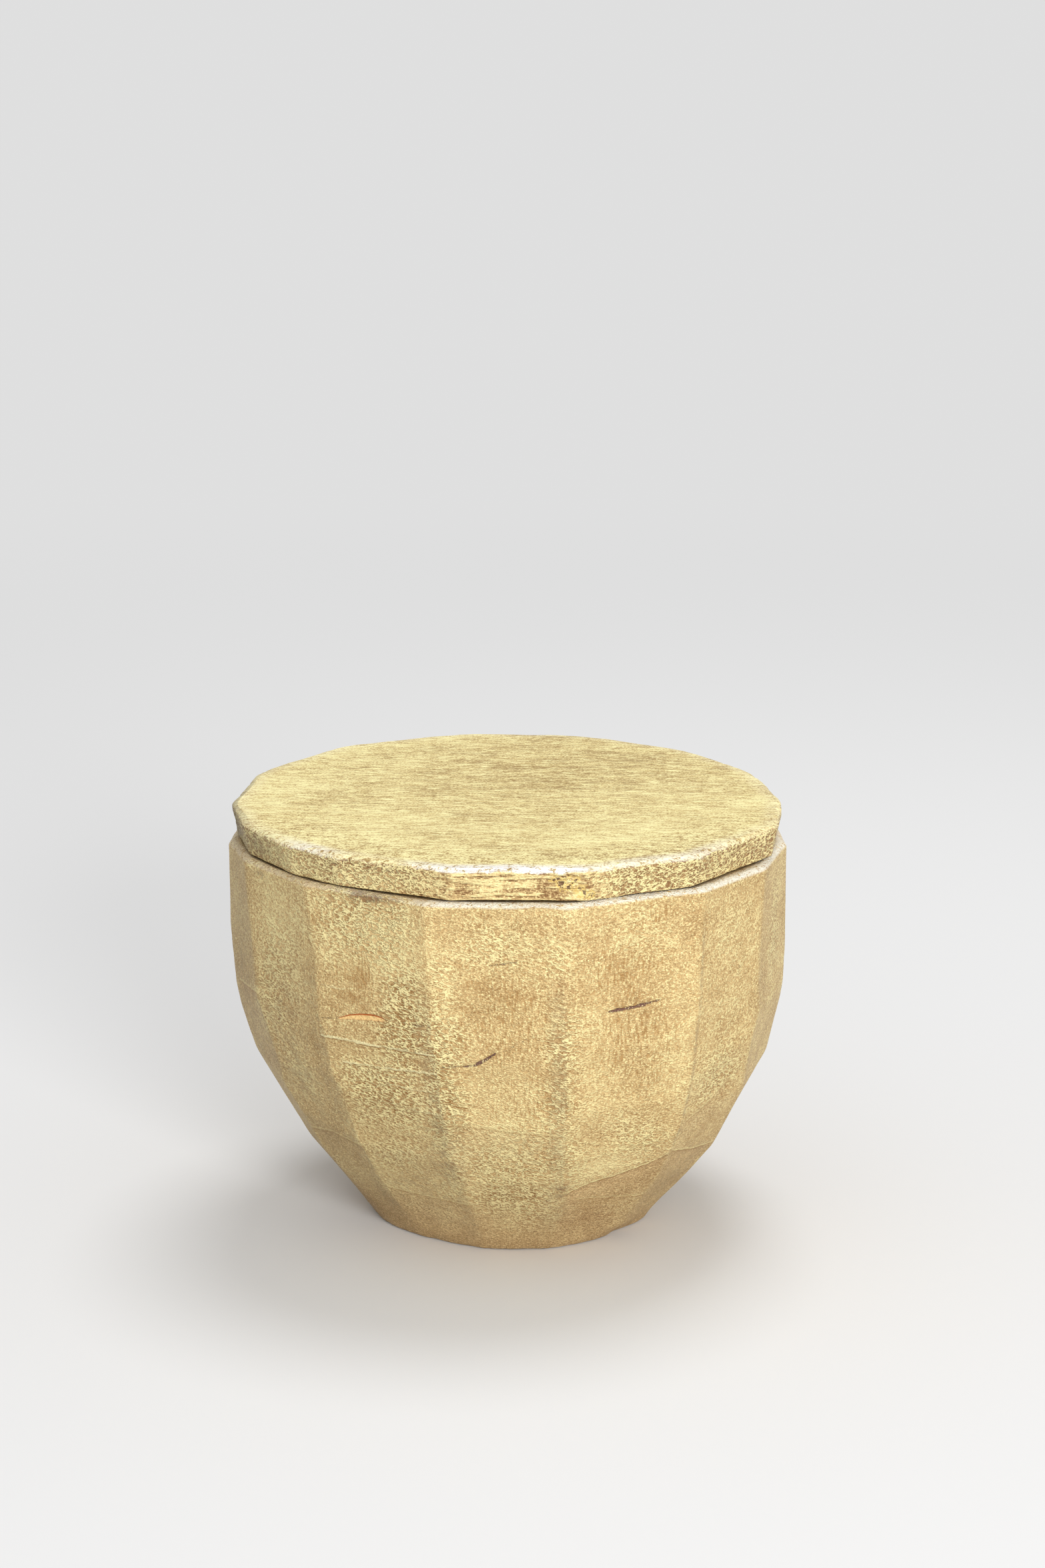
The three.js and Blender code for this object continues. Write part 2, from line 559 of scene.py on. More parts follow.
FACET_EDGES = (
    FacetEdge(-80, -79, -80, 0, 30),
    FacetEdge(-65.5, -59.5, -59, -0.2, 46),
    FacetEdge(-43.5, -38.2, -37.5, -0.8, 60, 0.08, Strip(0.5, -4.2, -0.1, 6, 56)),
    FacetEdge(-15, -12.6, -8.3, -0.2, 60, 0.08, Strip(0.5, -3.0, -0.1, 3, 52)),
    FacetEdge(12.5, 12.7, 17.5, 0.5, 62, 0.1, Strip(0.38, -2.4, 0.3, 12, 56)),
    FacetEdge(41.8, 40.2, 45, 1.2, 44, 0.08, Strip(0.8, 0.1, 0.7, 20, 62)),
    FacetEdge(61.5, 61, 69, 0.9, 40),
    FacetEdge(81, 83, 90, -0.1, 24),
    FacetEdge(109, 111, 116, -0.2, 24, 0.1, Strip(0.6, 0.0, 2.4)),
    FacetEdge(138, 138, 142, 0.2, 24),
    FacetEdge(167, 169, 170, -0.1, 24, 0.1, Strip(0.7, -2.4, 0.0)),
    FacetEdge(194, 197, 198, 0.3, 24),
    FacetEdge(222, 224, 226, 0, 24, 0.1, Strip(0.7, -1.8, 0.3)),
    FacetEdge(252, 253, 253, 0.1, 24),
)
# Every edge with the next one round to its right.
FACETS = tuple(zip(FACET_EDGES, FACET_EDGES[1:] + FACET_EDGES[:1]))

# Where the knife strokes meet on the facets seen in front: the height in the middle of the facet,
# and how much higher the meeting lies at the facet's right edge.
STROKE_MEETINGS = {
    0: ((5, 0), (16, 1), (31, -1), (45, 1)),
    1: ((4, 0), (13, 1), (24, -1), (36, 0.5), (46, 0.7)),
    2: ((4.5, 0), (12, 0.6), (22, 1), (33, -0.8), (45, 0.6), (57, 0.5)),
    3: ((4, 0), (10.7, -0.2), (17.4, 0.3), (29.3, -1), (43, 0.8), (54, -0.5)),
    4: ((4, 0), (11.7, -1), (18.2, 2), (23.4, 1), (32.5, -0.2), (44, 0.5), (55, 0)),
    5: ((4, 0), (13, -1), (19.6, -1.4), (28.5, 1.2), (38, 2), (50, 0)),
    6: ((5, 0), (16, -1), (30, 1), (44, 0)),
}
# About where they meet on the other facets.
USUAL_MEETINGS = (4.0, 11.0, 19.0, 29.0, 40.0, 52.0)

MARKS = {
    MarkKind.SLIVER: (
        Mark(0.12, (
            (-35.2, 47.05, 0.03), (-32.5, 47.7, 0.34), (-30, 48.05, 0.48), (-27, 48.3, 0.46),
            (-25.1, 48.25, 0.32), (-23.9, 48.1, 0.05),
        )),
    ),
    MarkKind.CHECK: (
        Mark(0.1, ((-39.3, 46.6, 0.02), (-37.3, 46.8, 0.06), (-35.2, 47.05, 0.02))),
        Mark(0.02, ((-20, 48.3, 0.03), (-17, 48.2, 0.12), (-13.6, 48.6, 0.08))),
        Mark(0.22, (
            (-12, 41.1, 0.06), (-8.4, 41.35, 0.12), (-5.8, 41.5, 0.15), (-4.7, 41.95, 0.36),
            (-4, 42.3, 0.38), (-2.5, 43.15, 0.28), (-1, 44.1, 0.06),
        )),
        Mark(0.22, (
            (20.2, 50.5, 0.04), (21.4, 50.5, 0.16), (22.8, 50.6, 0.3), (25.6, 50.7, 0.25),
            (28, 50.9, 0.32), (30.6, 51.25, 0.16), (32.2, 51.5, 0.04),
        )),
        Mark(0.08, ((1.2, 44.8, 0.02), (3.4, 45.8, 0.06), (5, 46.6, 0.02))),
        Mark(0.1, ((-2.6, 59.2, 0.02), (0, 59.5, 0.08), (3.3, 60, 0.08))),
        Mark(0.3, ((150, 52, 0.02), (154, 52.6, 0.2), (159, 52.9, 0.16), (163, 53.6, 0.03))),
        Mark(0.25, ((204, 41, 0.02), (209, 41.2, 0.18), (214, 41.9, 0.03))),
    ),
    MarkKind.RIDGE: (
        Mark(-0.16, (
            (-40, 43.4, 0.12), (-36.8, 43.4, 0.17), (-33.7, 43.5, 0.14), (-29.9, 43.25, 0.2),
            (-24.2, 43.3, 0.12), (-18, 43.35, 0.18), (-13.1, 43.25, 0.12),
        )),
        Mark(-0.14, ((-35.7, 39, 0.1), (-28.1, 39.2, 0.16), (-21.6, 39.5, 0.12), (-13, 39.8, 0.15))),
        Mark(-0.1, ((-39, 52.6, 0.04), (-35.5, 52.4, 0.12), (-33, 52.5, 0.04))),
        Mark(-0.1, ((-26, 36.4, 0.03), (-19, 36.0, 0.1), (-12.8, 36.2, 0.05))),
        Mark(-0.1, ((-26, 32.6, 0.03), (-18, 31.9, 0.1), (-12, 31.9, 0.05))),
        Mark(-0.08, ((-33, 59.4, 0.03), (-29, 59.2, 0.1), (-23, 59.3, 0.04))),
        Mark(-0.08, ((-36, 27.6, 0.03), (-28, 27.0, 0.1), (-15, 25.6, 0.05))),
    ),
}

LEDGES = tuple(Ledge(*row) for row in (
    (0.34, ((17.2, 14.9), (20.6, 15.9), (23.5, 16.6), (29.1, 17.3), (37, 18.9), (42.4, 21))),
    (0.22, ((42.4, 21), (52, 19.0), (62.3, 18.0))),
    (0.11, ((-11.5, 30.1), (-5.8, 29.7), (3.8, 28.7), (13, 28))),
    (0.05, ((-8, 17.1), (4, 17.0), (15.9, 17.7))),
    (0.05, ((-8.1, 10.9), (13.3, 10.5))),
    (0.07, ((19.7, 22.3), (31, 23.2), (42.8, 24.6))),
    (0.08, ((20, 12.7), (43, 10.8))),
    (0.12, ((42, 27), (49, 29.2), (55, 33))),
    (0.14, ((-75, 45.4), (-61.5, 46.5))),
    (0.12, ((-59, 21), (-48, 22.5), (-38, 21.5))),
    (0.1, ((-37, 12.5), (-9, 11.6))),
    (0.16, ((83, 24), (97, 22.6), (112, 23.8))),
    (0.13, ((113, 33), (138, 31.5))),
    (0.16, ((140, 18.5), (155, 19.6), (168, 18.4))),
    (0.15, ((169, 28), (183, 26.4), (196, 27.2))),
    (0.14, ((198, 16.5), (222, 18.2))),
    (0.14, ((225, 30.5), (240, 29.0), (252, 30.2))),
    (0.14, ((254, 19.5), (278, 18.0))),
))

# Each patch is its bearing, height, half width, half height and strength.
BOWL_PATCHES: PatchTable = {
    PatchKind.THIN: (
        (-30, 55.4, 3.6, 3.4, 0.95), (-31.5, 51, 4.4, 2, 0.8), (-36, 49, 3, 1.4, 0.7),
        (-8.2, 51.3, 4, 1.6, 0.7), (2, 53.4, 2.6, 2.2, 0.8), (-4, 56, 4, 1.6, 0.7),
        (22.8, 49.2, 2.4, 1.6, 0.75), (29.3, 46.3, 3.4, 2.6, 0.7), (22, 57, 4, 3, 0.75),
        (34, 57, 6, 6, 0.35), (32, 66, 3, 2, 0.6), (27, 62, 7, 5, 0.4), (-17, 41.6, 2.4, 1.2, 0.7),
        (-7, 40, 3, 1.4, 0.55), (-16, 22, 4, 8, 0.5), (-30, 41.5, 6, 2, 0.6), (54, 22, 8, 7, 0.6),
        (30, 8, 9, 5, 0.55), (4, 5, 9, 4, 0.5), (130, 40, 7, 3, 0.7), (205, 52, 6, 3, 0.8),
    ),
    PatchKind.WRINKLED: (
        (-28, 64, 10, 8, 1.3), (-20, 48, 6, 13, 1.2), (-12, 36, 4, 22, 1.3), (-26, 34, 9, 9, 1.0),
        (12, 36, 3.5, 26, 0.8), (-2, 62, 12, 6, 0.35), (3, 23, 12, 6, 1.4), (3, 15, 8, 6, 1.2),
        (10, 8, 9, 5, 0.7), (-24, 8, 9, 6, 0.6), (32, 8, 9, 5, 0.6), (-24, 22, 8, 5, 0.6),
        (29, 24, 10, 6, 0.7), (28, 63, 10, 5, 0.45), (51, 58, 8, 12, 0.15), (51, 34, 7, 8, 0.7),
        (70, 55, 6, 12, 0.5), (-54, 48, 8, 22, 0.6), (150, 45, 20, 18, 0.8), (225, 40, 16, 20, 0.8),
    ),
    PatchKind.STAINED: (
        (-27, 68.9, 6, 1.1, 0.8), (-36, 67.5, 4, 1.3, 0.5), (-60, 68, 5, 1.2, 0.5),
        (-55, 56, 3, 1.5, 0.4), (-53, 47, 2.5, 1.5, 0.4), (50, 1.4, 5, 1.5, 0.6),
        (26, 0.7, 8, 0.9, 0.45), (-22, 0.9, 7, 1.1, 0.5), (15, 16, 1.4, 3, 0.55),
        (11.6, 33, 1.4, 7, 0.12), (-13.6, 27, 1.2, 7, 0.35), (244, 66, 6, 1.6, 0.55),
    ),
    # Greyer patches: tarnishing in places, and painted shade on the left and low down.
    PatchKind.TARNISHED: (
        (-51, 36, 8, 22, 0.55), (-72, 45, 8, 25, 0.5), (-24, 15, 9, 8, 0.5), (-14, 22, 3.5, 8, 0.8),
        (15, 13, 3, 6, 0.6), (54, 14, 8, 7, 0.6), (160, 28, 14, 10, 0.5), (236, 54, 9, 12, 0.5),
    ),
    PatchKind.PALE: (
        (-11, 50, 1.6, 12, 0.7), (-36, 62, 3, 7, 0.5), (-53, 62, 6, 7, 0.8), (-25, 63, 10, 7, 1.2),
        (19, 40, 4, 7, 0.5), (35, 44, 4, 10, 0.4), (-7, 38, 3, 6, 0.5), (2, 25, 11, 9, 1.0),
        (-20, 8, 8, 6, 0.6), (26, 21, 8, 4, 1.0), (120, 58, 8, 8, 0.5), (190, 40, 6, 14, 0.5),
    ),
    PatchKind.SWEPT: (
        (22, 60, 8, 8, 0.9), (33, 40, 8, 10, 0.7), (50, 50, 8, 20, 0.9), (70, 50, 8, 16, 0.8),
        (208, 50, 10, 16, 0.8),
    ),
    PatchKind.SCRATCHED: (
        (1, 50, 9, 11, 0.8), (6, 35, 8, 8, 0.7), (25, 56, 8, 7, 0.9), (27, 43, 9, 9, 0.95),
        (-29, 55, 5, 6, 0.7), (-5, 67, 3, 2, 0.8), (31, 66.5, 5, 2, 0.9), (125, 52, 10, 12, 0.8),
        (180, 50, 10, 14, 0.8), (262, 52, 8, 12, 0.8),
    ),
}


@dataclass(frozen=True)
class LidCorner:
    """A corner of the lid's pared edge.

    Attributes:
        bearing: its bearing.
        stands_out: how far it stands out beyond the lid radius.
        columns: grid columns on the side to its right.
    """

    bearing: float
    stands_out: float
    columns: int


LID_CORNERS = tuple(LidCorner(*row) for row in (
    (-112, 0.4, 30), (-85, -0.2, 34), (-66, 0, 38), (-48.5, -0.1, 32), (-35, -0.5, 54),
    (-10, 0.2, 58), (16.5, 1.1, 52), (39.5, 1.5, 58), (67.5, 1.3, 40), (88, -0.7, 32),
    (114, -0.6, 30), (140, 0, 28), (164, 0.9, 30), (190, 1.5, 34), (220, 1.4, 34),
))


@dataclass(frozen=True)
class Pit:
    """A small round hole of a knot in the lid's edge: bearing, height, radius and depth."""

    bearing: float
    height: float
    radius: float
    depth: float

    def distance(self, surface: Surface, lid_radius: float) -> np.ndarray:
        """How far a surface's points lie from the pit's middle, along the lid's edge."""
        around = np.radians(surface.bearing - self.bearing) * lid_radius
        return np.hypot(around, surface.points[..., 2] - self.height)


KNOT = tuple(Pit(*row) for row in (
    (10.6, 74.0, 0.3, 0.15), (11.6, 73.1, 0.38, 0.2), (12.4, 74.2, 0.3, 0.2), (13.2, 72.2, 0.34, 0.2),
    (14.2, 73.4, 0.3, 0.15), (14.9, 72.3, 0.4, 0.2), (15.6, 71.4, 0.36, 0.15), (17.0, 71.0, 0.4, 0.15),
))

LID_PATCHES: PatchTable = {
    PatchKind.STAINED: (
        (-58, 71.5, 6, 1.0, 0.35), (-35, 74.2, 2.5, 1.0, 0.7), (-22, 74.2, 3.5, 0.7, 0.7),
        (0, 74.3, 4.0, 0.6, 0.6), (14, 71.0, 3.0, 0.8, 0.6), (-4, 70.6, 7.0, 0.5, 0.4),
    ),
    # Dark grey on the far left of the lid: painted shade.
    PatchKind.TARNISHED: ((-88, 72.5, 18, 4.0, 0.95), (-62, 72.5, 7, 3.0, 0.4)),
    PatchKind.PALE: ((-28, 72, 8, 2, 0.8), (-50, 73, 9, 3, 0.8)),
    PatchKind.THIN: ((-12, 73.4, 4.0, 0.8, 0.5), (30, 73.2, 6.0, 1.0, 0.5), (58, 73.4, 5.0, 1.0, 0.5)),
}


class BowlPart(IntEnum):
    """The sections of the bowl's surface, from the middle of the foot out, up, over and in."""

    FOOT = 0
    OUTSIDE = 1
    RIM = 2
    SEAT = 3
    LIP = 4
    HOLLOW = 5
    FLOOR = 6


@dataclass
class Bowl:
    """The bowl: one block of wood, pared into long facets outside and hollowed inside.

    Attributes:
        rim_height: height of the rim, from the frame.
        lid_outline: bearings round the lid, and the radius of its edge at each.
        uneven: the noise that roughens it.
        left_fullness, right_fullness: how early the outside reaches the belly, on each side.
        rim_radius, foot_radius: radii of the facet edges at the rim and at the foot.
        belly_height, belly_swell: the widest height, and how much wider it is than the rim.
        foot_flare: how slowly the outside leaves the foot.
        foot_round, foot_ragged: how rounded and how ragged the foot's edge is.
        foot_recess: how far the middle of the foot is raised.
        facet_softness, foot_softness: how rounded the facet edges are, and how much more at the foot.
        chip_bearing, chip_width, chip_depth, chip_height: the place where the foot is chipped.
        rim_wear_width, rim_wear_drop, rim_wear_fullness: the worn rounding of the rim.
        wear_ring: the radius at which the noise that wears the rim is taken.
        rim_rows, lip_rows: rows round the rim and round the lip of the mouth.
        mouth_radius, mouth_depth, mouth_round: the upright mouth, and the rounding of its lip.
        floor_thickness, floor_radius, floor_dish: the hollow's floor, and how far it is dished.
        hollow_fullness: how bellied the hollow is below the mouth.
        stroke_softness: how rounded the meetings of knife strokes are.
        waves: depth, size and shift of each broad unevenness of the outside.
        wrinkle_slant: how steeply the paint's wrinkles fall to the right in front.
        wrinkle_depth, wrinkle_size, wrinkle_scale: their depth and size, and how flat they are.
        flute_count, flute_depth: the grooves that the gouge left in the hollow.
        dent_depth, dent_size: the dents between them.
        wear_and_glint_from, wear_and_glint_to: the bearings where the rim's polish and its painted glint
        grow and where they fade.
        fine_row, low_row, plain_row: heights of rows at the checks, below them and above them.
        fine_from, fine_to: the heights between which the checks lie.
        seat_shares, foot_shares, floor_shares: where rows lie on the way across the flat parts.
        gap_dirt_and_shade_strength: how dark the ring under the lid's edge is, partly dirt and partly
            painted shade in the gap.
    """

    rim_height: float
    lid_outline: tuple[np.ndarray, np.ndarray]
    uneven: Unevenness = Unevenness(11)
    rim_radius: float = 49.5
    foot_radius: float = 25.2
    belly_height: float = 56.0
    belly_swell: float = 0.2
    left_fullness: float = 2.3
    right_fullness: float = 2.75
    foot_flare: float = 1.2
    foot_round: float = 0.55
    foot_recess: float = 0.2
    foot_ragged: float = 0.3
    foot_softness: float = 0.4
    facet_softness: float = 0.08
    chip_bearing: float = 49.0
    chip_width: float = 8.5
    chip_depth: float = 1.2
    chip_height: float = 3.2
    rim_wear_width: float = 1.3
    rim_wear_drop: float = 0.9
    rim_wear_fullness: float = 1.2
    wear_ring: float = 49.0
    rim_rows: int = 9
    mouth_radius: float = 41.4
    mouth_depth: float = 8.0
    mouth_round: float = 0.5
    lip_rows: int = 3
    floor_thickness: float = 9.0
    floor_radius: float = 14.0
    floor_dish: float = 0.3
    hollow_fullness: float = 2.6
    stroke_softness: float = 0.3
    wrinkle_slant: float = 0.2
    waves: tuple[Triple, ...] = ((0.1, 13.0, 0.0), (0.045, 4.5, 31.0))
    wrinkle_depth: float = 0.03
    wrinkle_size: float = 2.2
    wrinkle_scale: Triple = (1.0, 1.0, 2.2)
    flute_count: float = 13.0
    flute_depth: float = 0.22
    dent_depth: float = 0.1
    dent_size: float = 6.0
    wear_and_glint_from: tuple[float, float] = (-22.0, -10.0)
    wear_and_glint_to: tuple[float, float] = (75.0, 95.0)
    fine_row: float = 0.36
    low_row: float = 0.56
    plain_row: float = 0.8
    fine_from: float = 38.0
    fine_to: float = 53.0
    foot_shares: tuple[float, ...] = (0.3, 0.6, 0.8, 0.92, 0.98)
    seat_shares: tuple[float, ...] = (0.0, 0.06, 0.13, 0.22, 0.35, 0.65)
    floor_shares: tuple[float, ...] = (0.85, 0.65, 0.4, 0.2)
    gap_dirt_and_shade_strength: float = 0.65

    def edge_point(self, edge: FacetEdge, height: np.ndarray) -> np.ndarray:
        """The point of a facet edge at each height.

        Formula: the radius is foot + (belly - foot) * (1 - (1 - share of the climb) ^ fullness) ^
        flare, less a little above the belly. The fullness grows from the left side to the right.

        Args:
            edge: the facet edge.
            height: the heights.

        Returns:
            The points.
        """
        bearing = edge.bearing(height / self.rim_height)
        to_the_right = (1.0 + np.sin(np.radians(bearing))) / 2.0
        fullness = self.left_fullness + (self.right_fullness - self.left_fullness) * to_the_right
        foot = self.foot_radius + edge.stands_out
        belly = self.rim_radius + edge.stands_out + self.belly_swell
        climb = np.clip(height / self.belly_height, 0.0, 1.0)
        rise = (1.0 - (1.0 - climb) ** fullness) ** self.foot_flare
        above = np.maximum(height - self.belly_height, 0.0) / (self.rim_height - self.belly_height)
        return placed(bearing, foot + (belly - foot) * rise - self.belly_swell * above, height)

    def facet_line(self, number: int, height: np.ndarray) -> tuple[np.ndarray, np.ndarray]:
        """The straight line between the two edges of a facet: its direction out and its distance."""
        return line_between(*(self.edge_point(edge, height) for edge in FACETS[number]))

    def meetings(self, number: int) -> list[tuple[float, float]]:
        """The knife-stroke meetings on a facet: those seen, or seeded ones where none is seen.

        Args:
            number: the facet's number.

        Returns:
            For each meeting its height in the middle of the facet, and its tilt.
        """
        if number in STROKE_MEETINGS:
            return list(STROKE_MEETINGS[number])
        chance = np.random.default_rng(100 + number)
        heights = np.array(USUAL_MEETINGS) + chance.uniform(-2, 2, 6)
        return list(zip(heights, chance.uniform(-1.5, 1.5, 6)))

    def facet_distance(self, number: int, across: np.ndarray, height: np.ndarray) -> np.ndarray:
        """How far a facet lies from the axis, as a run of straight knife strokes.

        Formula: the distance at the foot, plus the first stroke's slope times the height, plus at
        each meeting the change of slope times softness * log(1 + exp((height - meeting) /
        softness)), which rounds the meeting off.

        Args:
            number: the facet's number.
            across: where a point lies on the facet, from -1 at its left edge to 1 at its right.
            height: the heights.

        Returns:
            The distance at each point.
        """
        zero = np.zeros_like(height)
        levels = [zero] + [zero + rise + tilt * across for rise, tilt in self.meetings(number)]
        levels.append(zero + self.rim_height)
        distances = [self.facet_line(number, level)[1] for level in levels]
        slopes = []
        for low, high, near, far in zip(levels, levels[1:], distances, distances[1:]):
            slopes.append((far - near) / (high - low))
        total = distances[0] + slopes[0] * height
        for level, before, after in zip(levels[1:-1], slopes, slopes[1:]):
            past = (height - level) / self.stroke_softness
            total += (after - before) * self.stroke_softness * np.logaddexp(0.0, past)
        return total

    def wall_radius(self, bearing: np.ndarray, height: np.ndarray) -> np.ndarray:
        """The radius of the pared outside: the soft least of the radii of all its facets.

        Args:
            bearing: the bearings.
            height: the heights, in the same shape.

        Returns:
            The radius at each point.
        """
        radii = []
        softness = self.facet_softness + self.foot_softness * (1.0 - eased(height, 1.0, 12.0))
        for number, (edge, after) in enumerate(FACETS):
            left, right = (side.bearing(height / self.rim_height) for side in (edge, after))
            turn = turn_from(left, bearing)
            across = np.clip(2.0 * turn / ((right - left) % 360.0) - 1.0, -1.0, 1.0)
            softer = edge.softness - self.facet_softness
            softness = softness + softer * np.exp(-((turn / 4.0) ** 2))
            out, _ = self.facet_line(number, height)
            radii.append(side_radius(bearing, out, self.facet_distance(number, across, height)))
        return soft_least(radii, softness)

    def columns(self, share: np.ndarray) -> tuple[np.ndarray, np.ndarray, np.ndarray]:
        """The grid's columns, which follow the facet edges down the outside.

        Args:
            share: the share of the way up from foot to rim, as a column of rows.

        Returns:
            The bearings, how far they lie to the right of the nearest facet edge in degrees, and
            the number of that edge.
        """
        bearings, turns, nearest = [], [], []
        for number, (edge, after) in enumerate(FACETS):
            drawn = drawn_columns(edge.columns)
            left = edge.bearing(share)
            width = (after.bearing(share) - left) % 360.0
            bearings.append(left + width * drawn)
            turns.append(width * np.where(drawn < 0.5, drawn, drawn - 1.0))
            following = np.where(drawn < 0.5, number, (number + 1) % len(FACETS))
            nearest.append(np.broadcast_to(following, bearings[-1].shape))
        return tuple(np.concatenate(part, axis=1) for part in (bearings, turns, nearest))

    def foot_wear(self, bearing: np.ndarray, height: np.ndarray) -> np.ndarray:
        """How much of the foot's edge is missing: ragged all round, and chipped in one place.

        Args:
            bearing: the bearings.
            height: the heights.

        Returns:
            How far in the edge lies at each point.
        """
        uneven = self.uneven.layered(placed(bearing, self.foot_radius, 0.0) + 90.0, 4.0)
        ragged = self.foot_ragged * uneven * (1.0 - eased(height, 0.3, 2.2))
        chipped = np.exp(-(((bearing - self.chip_bearing) / self.chip_width) ** 2))
        return ragged + self.chip_depth * chipped * (1.0 - eased(height, 0.6, self.chip_height))

    def outside_section(self) -> tuple[Section, np.ndarray, np.ndarray]:
        """The rows up the outside, closer together at the foot and the checks.

        Returns:
            The section, and for each of its points the turn from the nearest edge and its number.
        """
        heights = np.concatenate([
            self.foot_round * (1.0 - np.cos(np.linspace(0.1, math.pi / 2, 5)))[:-1],
            spaced(self.foot_round, self.fine_from, self.low_row),
            spaced(self.fine_from, self.fine_to, self.fine_row),
            spaced(self.fine_to, self.rim_height - self.rim_wear_drop, self.plain_row),
        ])[:, None]
        bearing, edge_turn, edge_number = self.columns(heights / self.rim_height)
        height = np.broadcast_to(heights, bearing.shape)
        low = np.clip(1.0 - height / self.foot_round, 0.0, 1.0)
        inset = self.foot_round * (1.0 - np.sqrt(1.0 - low**2)) + self.foot_wear(bearing, height)
        return (bearing, self.wall_radius(bearing, height) - inset, height), edge_turn, edge_number

    def hollow_section(self, bearing: np.ndarray) -> Section:
        """The rows down the inside: upright at the mouth, and bellied below it.

        Formula: the radius is floor + (mouth - floor) * (1 - (1 - share of the climb) ^ fullness).

        Args:
            bearing: the bearings of the columns.

        Returns:
            The section.
        """
        mouth_foot = self.rim_height - self.mouth_depth
        height = np.concatenate([
            spaced(self.rim_height - self.mouth_round, mouth_foot, 1.3),
            spaced(mouth_foot, self.floor_thickness, 2.2),
            [self.floor_thickness],
        ])[:, None]
        climb = (height - self.floor_thickness) / (mouth_foot - self.floor_thickness)
        rise = 1.0 - (1.0 - np.clip(climb, 0.0, 1.0)) ** self.hollow_fullness
        return bearing, self.floor_radius + (self.mouth_radius - self.floor_radius) * rise, height

    def rim_sections(self, bearing: np.ndarray) -> list[Section]:
        """The worn rim, the flat seat inside it and the rounded lip of the mouth.

        Args:
            bearing: the bearings of the columns.

        Returns:
            The three sections.
        """
        ring = placed(bearing, self.wear_ring, 0.0)
        worn_width = self.rim_wear_width * (1.0 + 0.25 * self.uneven.layered(ring, 9.0))
        worn_drop = self.rim_wear_drop * (1.0 + 0.3 * self.uneven.layered(ring + 50.0, 7.0))
        come_in, come_up = quarter(self.rim_rows, self.rim_wear_fullness)
        height = self.rim_height - np.minimum(worn_drop, self.rim_wear_drop) * (1.0 - come_up)
        wall = self.wall_radius(np.broadcast_to(bearing, height.shape), height)
        seat_out = wall[-1:] - worn_width
        seat_way = self.mouth_radius + self.mouth_round - seat_out
        lip_in, lip_up = quarter(self.lip_rows)
        lip_radius = self.mouth_radius + self.mouth_round * (1.0 - lip_up)
        return [
            (bearing, wall - worn_width * come_in, height),
            (bearing, seat_out + seat_way * column(*self.seat_shares), self.rim_height),
            (bearing, lip_radius, self.rim_height - self.mouth_round * lip_in),
        ]

    def surface(self) -> Surface:
        """The bowl's closed surface, from the middle of the foot out, up, over the rim and in.

        Returns:
            The surface, with the values that its paint needs.
        """
        outside, edge_turn, edge_number = self.outside_section()
        bearing = self.columns(np.ones((1, 1)))[0]
        foot = column(*self.foot_shares)
        floor = column(*self.floor_shares)
        surface = Surface("bowl_carved", [
            (outside[0][:1], foot * outside[1][:1], self.foot_recess * (1.0 - foot**2)),
            outside,
            *self.rim_sections(bearing),
            self.hollow_section(bearing),
            (bearing, self.floor_radius * floor, self.floor_thickness - self.floor_dish * (1.0 - floor)),
        ])
        self.keep_values(surface)
        self.keep_strips(surface, edge_turn, edge_number)
        self.keep_lines(surface)
        self.roughen(surface)
        return surface

    def keep_values(self, surface: Surface) -> None:
        """Works out what the paint needs to know at each point, and keeps it on the surface.

        Args:
            surface: the bowl's surface.
        """
        values = surface.values
        bearing = surface.bearing
        bare = surface.within(BowlPart.FOOT, BowlPart.LIP, BowlPart.HOLLOW, BowlPart.FLOOR)
        values["flow"] = surface.flow(self.wrinkle_slant)
        values["bare"] = np.where(bare, 1.0, 0.0)
        values["end_grain"] = eased(np.abs(np.sin(np.radians(bearing))), 0.6, 0.9)
        lid_bearing, lid_radius = self.lid_outline
        lid_edge = np.interp(bearing, lid_bearing, lid_radius, period=360.0)
        # The seat just inside the lid's edge is painted dark: dirt, and painted shade in the narrow gap
        # under the lid.
        covered = lid_edge - 1.2 - surface.radius()
        dirty_and_shaded = eased(covered, -0.5, 0.5) * (1.0 - 0.7 * eased(covered, 1.2, 3.0))
        seat_and_lip = surface.within(BowlPart.SEAT, BowlPart.LIP)
        values["gap_dirt_and_shade"] = np.where(seat_and_lip, self.gap_dirt_and_shade_strength * dirty_and_shaded, 0.0)
        # The rim is painted whiter where it is worn, and as a painted glint where it faces the light in
        # front.
        rows = surface.rows_past(BowlPart.RIM)
        over_rim = eased(rows, 0.0, 3.5) * (1.0 - eased(rows, 9.0, 12.0))
        turned = turn_from(0.0, bearing)
        handled_and_glinting = eased(turned, *self.wear_and_glint_from) * (1.0 - eased(turned, *self.wear_and_glint_to))
        on_rim = surface.within(BowlPart.RIM, BowlPart.SEAT)
        values["rub_and_glint"] = over_rim * (0.3 + 0.7 * handled_and_glinting) * on_rim
        surface.keep_patches(BOWL_PATCHES, (BowlPart.OUTSIDE, BowlPart.RIM))
        values["thin"] = np.where(surface.within(BowlPart.SEAT), 0.5, values["thin"])

    def keep_strips(self, surface: Surface, edge_turn: np.ndarray, edge_number: np.ndarray) -> None:
        """Keeps how grey the strips along the facet edges are.

        Args:
            surface: the bowl's surface.
            edge_turn: on the outside, degrees to the right of the nearest facet edge.
            edge_number: on the outside, the number of that edge.
        """
        rows = slice(surface.starts[BowlPart.OUTSIDE], surface.starts[BowlPart.RIM])
        distance = np.radians(edge_turn) * surface.radius()[rows]
        # The strips grey the paint beside the edges: tarnishing, and painted shade.
        tarnish = np.zeros_like(surface.bearing)
        for number, edge in enumerate(FACET_EDGES):
            strip = edge.strip.strength_at(distance, surface.points[rows, :, 2])
            tarnish[rows] += np.where(edge_number == number, strip, 0.0)
        surface.values["tarnish"] = tarnish

